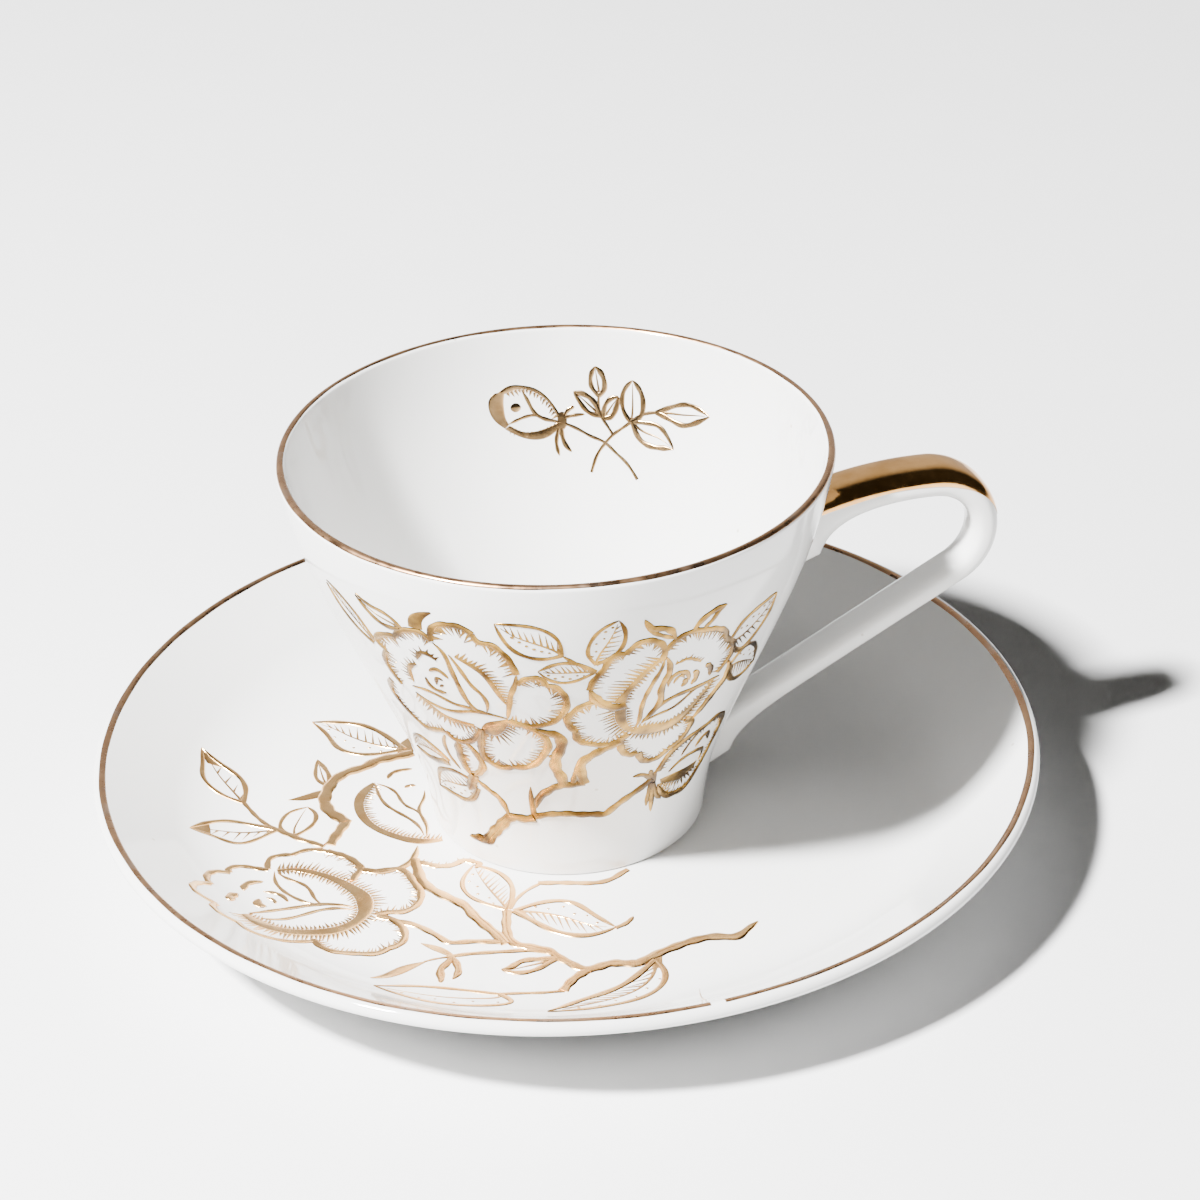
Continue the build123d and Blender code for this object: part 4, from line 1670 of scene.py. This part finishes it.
class SaucerPrints:
    """Prints on the saucer, as (x, y)."""

    @staticmethod
    def near_rose() -> list[Print]:
        """The rose near the rim: a scalloped edge, two lobes and a hatched crescent round the heart.

        Returns:
            The prints, in the order in which they are laid.
        """
        edge = Outline((
            ((-50.3, -8.8), (-50.2, -7), (-49.5, -5.7), (-48, -5.3), (-46, -5.6)),
            ((-46, -5.6), (-44.5, -5), (-42.5, -5), (-40.5, -6)),
            ((-56.5, -9.8), (-56.6, -9), (-55.8, -8), (-54, -7.6), (-52, -8.2), (-50.3, -8.9)),
            ((-59.8, -15), (-60.2, -14), (-60.2, -12.5), (-59.5, -11), (-58.2, -10), (-56.5, -9.9)),
            ((-59.6, -22.2), (-61, -21.5), (-62.3, -20.5), (-62.8, -18.8), (-62.2, -17),
             (-61.3, -15.8), (-60, -15)),
            ((-56.8, -27.2), (-58.8, -26.3), (-59.9, -25), (-60.2, -23.5), (-59.6, -22.3)),
            ((-45.7, -30), (-47.5, -30.2), (-50, -30.5), (-52.5, -30.3), (-55, -29.6), (-56.2, -28.5),
             (-56.8, -27.2)),
        ), 0.8, 0.0).strokes()
        lobes = Outline((
            ((-45.7, -29.5), (-44.6, -32), (-43, -33.3), (-40.5, -34), (-38, -34.6), (-36, -34.6),
             (-34.8, -33.8)),
            ((-34.8, -33.8), (-33.2, -33.4), (-32, -32), (-31.7, -30), (-32.2, -28), (-33.2, -26.5),
             (-35.2, -25.2)),
            ((-35.4, -24.8), (-33.5, -24.6), (-31, -25), (-29.3, -24.2), (-28, -22.4), (-27.6, -20)),
            ((-27.6, -20), (-28.3, -17.5), (-28.9, -15), (-30, -13.6), (-31.5, -13.3), (-33.5, -13.2),
             (-35.6, -12.4)),
            ((-37.6, -15), (-37, -13.6), (-35.9, -12), (-36.2, -10.6), (-37.2, -8.8), (-38.8, -7.2),
             (-40.5, -6)),
        ), 0.95, 1.0).strokes()
        folds = [
            Plate(
                ((-49, -9), (-46, -9.3), (-43, -10.8), (-40, -13.2), (-37.3, -16.3), (-35.6, -19),
                 (-35.2, -21.5),
                 (-36, -24.3), (-38.5, -26.9), (-41.5, -28.2), (-45, -28.3), (-49, -28),
                 (-52.5, -27.1), (-55, -25.2),
                 (-56, -23.2)),
                ((-49, -9.6), (-46.5, -10.1), (-44, -11.6), (-41.5, -13.6), (-39.4, -16.5),
                 (-38.2, -19), (-37.9, -21.5),
                 (-38.3, -24), (-39.8, -25.5), (-42.5, -26.3), (-46, -26.3), (-50, -25.8),
                 (-52.5, -24.5), (-54, -23.4),
                 (-54.8, -22.6)),
                (1.2, -0.8),
            ),
            Stroke(((-49.4, -9.5), (-49.6, -12), (-48.7, -15), (-46.8, -17.7), (-44.5, -19.6),
                    (-43.3, -20.1)), 0.5),
            Stroke(((-49, -10), (-47.5, -12), (-45.3, -14.2), (-44.4, -16.5), (-44, -18.5),
                    (-43.2, -20.1)), 0.5),
            Stroke(((-54.8, -22.4), (-52, -21), (-49, -20.2), (-45, -19.9), (-42.5, -20.2),
                    (-40.3, -21), (-38.3, -22)), 0.65),
            Stroke(((-53, -23.5), (-50, -23.3), (-47, -22.4), (-44, -21.6), (-41, -21.7),
                    (-38.8, -22.6)), 0.6),
        ]
        heart = [
            Stroke(((-54.8, -15), (-54.6, -13.6), (-53.3, -12.3), (-51.5, -12.2)), 0.9),
            Stroke(((-57.2, -19.2), (-57, -17.5), (-55.9, -16.3)), 1.1),
            Stroke(((-51.8, -15), (-50.2, -15.4), (-48.9, -16.6), (-48.3, -18.3)), 0.6),
            Stroke(((-52.7, -17.4), (-53, -18.8), (-51.9, -19.6)), 1.1),
            Stroke(((-51.5, -16.8), (-50.5, -17.4), (-50.3, -18.6)), 0.5),
        ]
        return edge + lobes + folds + heart

    @staticmethod
    def far_rose() -> list[Print]:
        """The rose beside the cup's foot.

        Returns:
            The prints, in the order in which they are laid.
        """
        return [
            Plate(
                ((-30.6, 11.9), (-32.2, 10.8), (-33.7, 9), (-34.6, 6), (-34.4, 2.5), (-33.3, -0.5),
                 (-31.6, -3),
                 (-29, -5.6), (-25.6, -7.6), (-22, -7.6)),
                ((-30.3, 11.3), (-31.3, 9.5), (-32.6, 7), (-32.9, 3.5), (-32.2, 0.5), (-30.8, -1.8),
                 (-28.8, -3.8),
                 (-26.8, -5.2), (-24.6, -6.2), (-22, -6.9)),
                (0.0, 0.9),
            ),
            Stroke(((-30.3, 11.8), (-30.1, 8), (-29.6, 5.5), (-28, 2.5), (-26, -0.5), (-25, -3),
                    (-24.7, -5.4)), 0.5),
            Stroke(((-30, 11.3), (-28.5, 10), (-27.3, 8), (-26.8, 5.5), (-26, 3.5), (-24.8, 1.9),
                    (-24.2, 0)), 0.45),
            Stroke(((-22.6, 7.5), (-23.2, 5), (-24.3, 2.5), (-24.2, 0), (-23.9, -3), (-24.4, -5.6)),
                   0.5),
            Stroke(((-28, 12.2), (-27.3, 13.6), (-25.8, 14.3), (-23.6, 14.2)), 0.7),
            Stroke(((-25.7, 9), (-24.8, 9.5), (-23.8, 9.2)), 0.6),
            Stroke(((-26.6, -12.5), (-25.5, -13.2), (-24.2, -14.1), (-22.5, -14.5), (-21, -14.3),
                    (-19.9, -13.7),
                    (-18.2, -14.4)), 0.9, Taper.NEITHER, 0.7),
            Stroke(((-36.4, -11.9), (-34, -13.4), (-31, -13.6), (-28.6, -12.6), (-27, -10.4),
                    (-26.2, -8)), 0.9),
            Stroke(((-18.6, -14.2), (-17.4, -15.2), (-18.3, -16.2)), 0.8),
        ]

    @staticmethod
    def leaves() -> list[Print]:
        """Leaves and the sprig on the far side of the roses.

        Returns:
            The prints, in the order in which they are laid.
        """
        return [
            Leaf(((-52.1, 10.8), (-55.8, 13.2), (-57.9, 16.6), (-57.7, 19.6), (-57.4, 23.8)),
                 ((-52.1, 10.8), (-51.3, 14.6), (-52, 18), (-54.4, 20.8), (-57.4, 23.8)),
                 Side.RIGHT, Side.NONE, 0.6, 5),
            Plate(((-57.2, 23.2), (-57.3, 21.8), (-56.9, 20.4)), ((-56.6, 22.6), (-55.2, 21),
                                                                  (-54, 20))),
            Stroke(((-52.1, 10.9), (-51.2, 8.5), (-50.2, 6), (-49, 3.8), (-47.6, 2)), 0.6,
                   Taper.NEITHER),
            Leaf(((-47.6, 1.9), (-51, 0.1), (-54.4, -0.9), (-58, 0.6), (-61.6, 1.3)),
                 ((-47.6, 1.9), (-51.4, 4.3), (-55.4, 5.4), (-58.8, 4), (-61.6, 1.3)), Side.LEFT,
                 Side.NONE, 0.6, 7),
            Plate(((-61.2, 1.6), (-59.6, 3.2), (-58.3, 4)), ((-61.2, 1.1), (-59.8, 1), (-58.3, 1.1))),
            Stroke(((-47.6, 2), (-46, 0.2), (-44.5, -1.4), (-42.5, -3), (-40.8, -4.6)), 0.8,
                   Taper.NEITHER),
            Leaf(((-45, -0.4), (-47, 2.4), (-46.5, 4.6), (-45, 6.4), (-42, 7.2)),
                 ((-45, -0.4), (-42.4, 1.4), (-41.1, 3.6), (-41.1, 5.6), (-42, 7.2)), Side.NONE,
                 Side.NONE, 0.55),
            Leaf(((-24, 20.5), (-31, 20.6), (-34.6, 23.4), (-36, 28), (-38, 32.5)),
                 ((-24, 20.5), (-26.4, 25.4), (-29.4, 29.2), (-33, 31.2), (-38, 32.5)), Side.RIGHT,
                 Side.LEFT, 0.7, 10),
            Leaf(((-38.1, 12.7), (-39.4, 15), (-39.3, 17.8), (-38.6, 20.8)),
                 ((-38.1, 12.7), (-37.4, 15), (-37.7, 17.8), (-38.6, 20.8)), Side.NONE,
                 Side.NONE, 0.55),
            Plate(((-45, 10.1), (-42, 11), (-40, 11.6), (-38.4, 11.8)), ((-44.6, 9.9), (-42, 9.2),
                                                                         (-40, 9.4), (-38.8, 9.6))),
            Stroke(((-22.8, 19), (-25, 18.6), (-27.5, 18.3), (-29.5, 17.8), (-31, 16.8), (-33, 16.2),
                    (-35, 15.4),
                    (-37, 13.5), (-38.3, 11), (-39, 8.5), (-38.9, 6.3), (-38.3, 4.5), (-37.2, 2.8),
                    (-36.5, 1.4)), 1.6,
                   Taper.NEITHER),
            Stroke(((-36.2, 2), (-37.1, 0.4), (-38.6, -2), (-39.9, -4.4)), 1.4, Taper.NEITHER),
            Plate(((-25.4, 20.6), (-24.4, 22.6), (-22.8, 24)), ((-25.2, 19.2), (-23.6, 18.8),
                                                                (-22.5, 19.4))),
        ]

    @staticmethod
    def branch() -> list[Print]:
        """The branch that sweeps round the front of the dish, with its buds and leaves.

        Returns:
            The prints, in the order in which they are laid.
        """
        return [
            Stroke(((-27.3, -11.5), (-27.2, -14), (-27, -17), (-26.3, -19.3), (-24.8, -21.6),
                    (-22.8, -24), (-21.6, -25.6),
                    (-20.8, -28), (-19.8, -30.5), (-18.6, -33), (-17.6, -35.3), (-17, -37)), 1.3,
                    Taper.NEITHER),
            Stroke(((-15.3, -28.6), (-15.9, -31), (-16.3, -33.5), (-16.2, -36), (-15.6, -37.3),
                    (-14, -38.3), (-12.3, -39.3),
                    (-10.8, -40.4), (-9.9, -42), (-8.6, -43.8), (-7.3, -45.4), (-6, -46.3)), 1.15,
                    Taper.NEITHER),
            Stroke(((-32.3, -27.3), (-30, -28.8), (-28, -31), (-26.6, -33), (-25.6, -34.4),
                    (-23, -35), (-20.5, -35.5),
                    (-17, -36.6)), 0.9, Taper.NEITHER),
            Stroke(((-27.6, -38.2), (-24, -38.1), (-20, -38.5), (-16.5, -39), (-13.4, -39.6),
                    (-11, -40.6)), 0.7, Taper.START),
            Plate(((-29.8, -33.6), (-28, -34.5), (-26.4, -35.8), (-25.3, -37.6)),
                  ((-29.7, -33.9), (-28.6, -35.5), (-27.2, -37), (-26, -38.2))),
            Stroke(((-25.6, -38), (-26.5, -39.5), (-27.8, -41), (-28.1, -43), (-28.4, -44.5)), 1.0),
            Stroke(((-25.5, -38.2), (-25.2, -40.5), (-25.4, -42.4), (-26.5, -43.9)), 0.9),
            Plate(((-38.7, -42.1), (-36.5, -42.1), (-34, -41.2), (-31.8, -39.9), (-29.8, -38.7)),
                  ((-38.6, -41.8), (-36.4, -40.5), (-34, -38.9), (-31.5, -38.4), (-29.8, -38.4))),
            Stroke(((-30, -38.5), (-28.4, -38.2), (-26, -38.2)), 0.35, Taper.NEITHER),
            Leaf(((-10.2, -42.4), (-13, -44.1), (-15.3, -44.7), (-17.2, -44.3), (-18.9, -43.2)),
                 ((-10.2, -42.4), (-13.2, -41.9), (-15.6, -41.9), (-17.2, -42.8), (-18.9, -43.2)),
                 Side.NONE, Side.NONE, 0.8),
            Leaf(((-15.2, -28.2), (-18, -26.1), (-20.6, -22.8), (-20.9, -19.6), (-18.3, -15.3)),
                 ((-15.2, -28.2), (-14, -25.4), (-13.5, -21.8), (-14.9, -18.2), (-18.3, -15.3)),
                 Side.RIGHT, Side.LEFT, 0.6, 11),
            Stroke(((-14.8, -28.2), (-12.8, -25.3), (-11, -23.8), (-9, -22.7)), 0.5, Taper.NEITHER),
            Stroke(((-9.3, -22.5), (-7, -23), (-4.5, -23.6), (-2.4, -24.2), (0, -24.6), (2.5, -24),
                    (4, -23), (5.2, -22.3)),
                   0.85, Taper.NEITHER),
            Leaf(((-14.3, -28.9), (-9, -27.7), (-5.4, -28.6), (-2.6, -32.4), (0.3, -36.8)),
                 ((-14.3, -28.9), (-12, -32), (-8.8, -35.8), (-4, -37.8), (0.3, -36.8)),
                 Side.RIGHT, Side.LEFT, 0.75, 11),
            Stroke(((0.1, -36.9), (2, -36.1), (3.4, -34.7)), 0.7, Taper.END),
            Stroke(((-6, -46.3), (-4, -45.9), (-2.2, -45.6), (-0.6, -46), (2, -46.6)), 1.35,
                   Taper.NEITHER),
            Stroke(((1.6, -46.5), (4, -45.3), (6.5, -44.3), (9.5, -43.3), (12.5, -42.7), (15, -42.8),
                    (17.8, -43.4),
                    (19.2, -42.5), (20.5, -41.4), (21.8, -40.5)), 1.3, Taper.END),
            Stroke(((-6, -46.4), (-7.8, -47.4), (-9.4, -48.8), (-10.8, -50.6)), 1.2, Taper.NEITHER),
            Stroke(((-10.6, -50.6), (-13.5, -50.4), (-16.5, -49.9), (-20.3, -49.3)), 0.6,
                   Taper.NEITHER),
            Leaf(((-20.2, -49.4), (-25, -47.3), (-29.6, -45.6), (-34, -44.8), (-38.6, -45.2)),
                 ((-20.2, -49.4), (-18.9, -52), (-24, -53), (-31, -51.4), (-38.6, -45.2)),
                 Side.NONE, Side.RIGHT, 0.6),
            Leaf(((4.4, -46.3), (5.1, -49.5), (2.5, -54.3), (-4, -57), (-14.4, -57.4)),
                 ((4.2, -46.3), (1.4, -48.9), (-3, -51.9), (-8.6, -54), (-14.4, -57.2)),
                 Side.RIGHT, Side.LEFT, 0.75, 14),
            Plate(((3.4, -45.6), (3.2, -46.8), (3.6, -48.4)), ((5.8, -45), (5.4, -46.6), (5.2, -48.4))),
        ]

    @staticmethod
    def crack() -> list[Print]:
        """The hairline crack from the well to the rim."""
        return [Stroke(((8.9, -56), (8.3, -60), (7.9, -64.5), (6.9, -69), (6.4, -73.5)), 0.16)]


def print_gold(saucer: Saucer, bowl: Bowl, finishes: Finishes) -> None:
    """Lays every print on its ground, each with its own fixed seed for the unevenness of its strokes.

    Args:
        saucer: the saucer that is printed.
        bowl: the cup's bowl that is printed.
        finishes: the set's materials.
    """
    outside, inside = TurnedWall(bowl.outer_wall), TurnedWall(bowl.inner_wall[8:], -1)
    dish = DishTop(saucer.top())
    # the cup's gold is darkened with painted shade, standing in for dark reflections
    cup, plate = finishes.cup_gold, finishes.saucer_gold
    cup_set = [
        ("cup_left_rose", outside, CupPrints.left_rose, cup, "gilding"),
        ("cup_right_rose", outside, CupPrints.right_rose, cup, "gilding"),
        ("cup_leaves", outside, CupPrints.leaves, cup, "gilding"),
        ("cup_branch", outside, CupPrints.branch, cup, "gilding"),
        ("cup_buds", outside, CupPrints.buds, cup, "gilding"),
        ("cup_inner_sprig", inside, CupPrints.inner_sprig, finishes.inner_gold, "gilding"),
    ]
    saucer_set = [
        ("saucer_near_rose", dish, SaucerPrints.near_rose, plate, "gilding"),
        ("saucer_far_rose", dish, SaucerPrints.far_rose, plate, "gilding"),
        ("saucer_leaves", dish, SaucerPrints.leaves, plate, "gilding"),
        ("saucer_branch", dish, SaucerPrints.branch, plate, "gilding"),
        ("saucer_crack", dish, SaucerPrints.crack, finishes.crack, "porcelain"),
    ]
    for body, prints in (("cup", cup_set), ("saucer", saucer_set)):
        for seed, (name, ground, draw, finish, slot) in enumerate(prints):
            skin, chance = Skin(), np.random.default_rng(seed)
            for part in draw():
                part.lay(skin, ground, chance)
            settle(skin.make(name, finish), body, slot)


def main() -> None:
    """Builds the set in order."""
    logging.basicConfig(level=logging.INFO, format="%(name)s %(message)s")
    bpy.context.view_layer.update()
    finishes = Finishes.mixed()
    saucer, bowl = Saucer(), Bowl()
    handle = Handle(bowl)
    saucer.dish(finishes.porcelain)
    saucer.rim_line(finishes.worn_gold)
    bowl.shell(finishes.porcelain)
    bowl.lip_line(finishes.worn_gold)
    handle.strap(finishes.porcelain)
    handle.gold(finishes.handle_gold)
    print_gold(saucer, bowl, finishes)
    studio = Studio()
    studio.table()
    studio.lights()
    studio.camera()


if __name__ == "__main__":
    main()
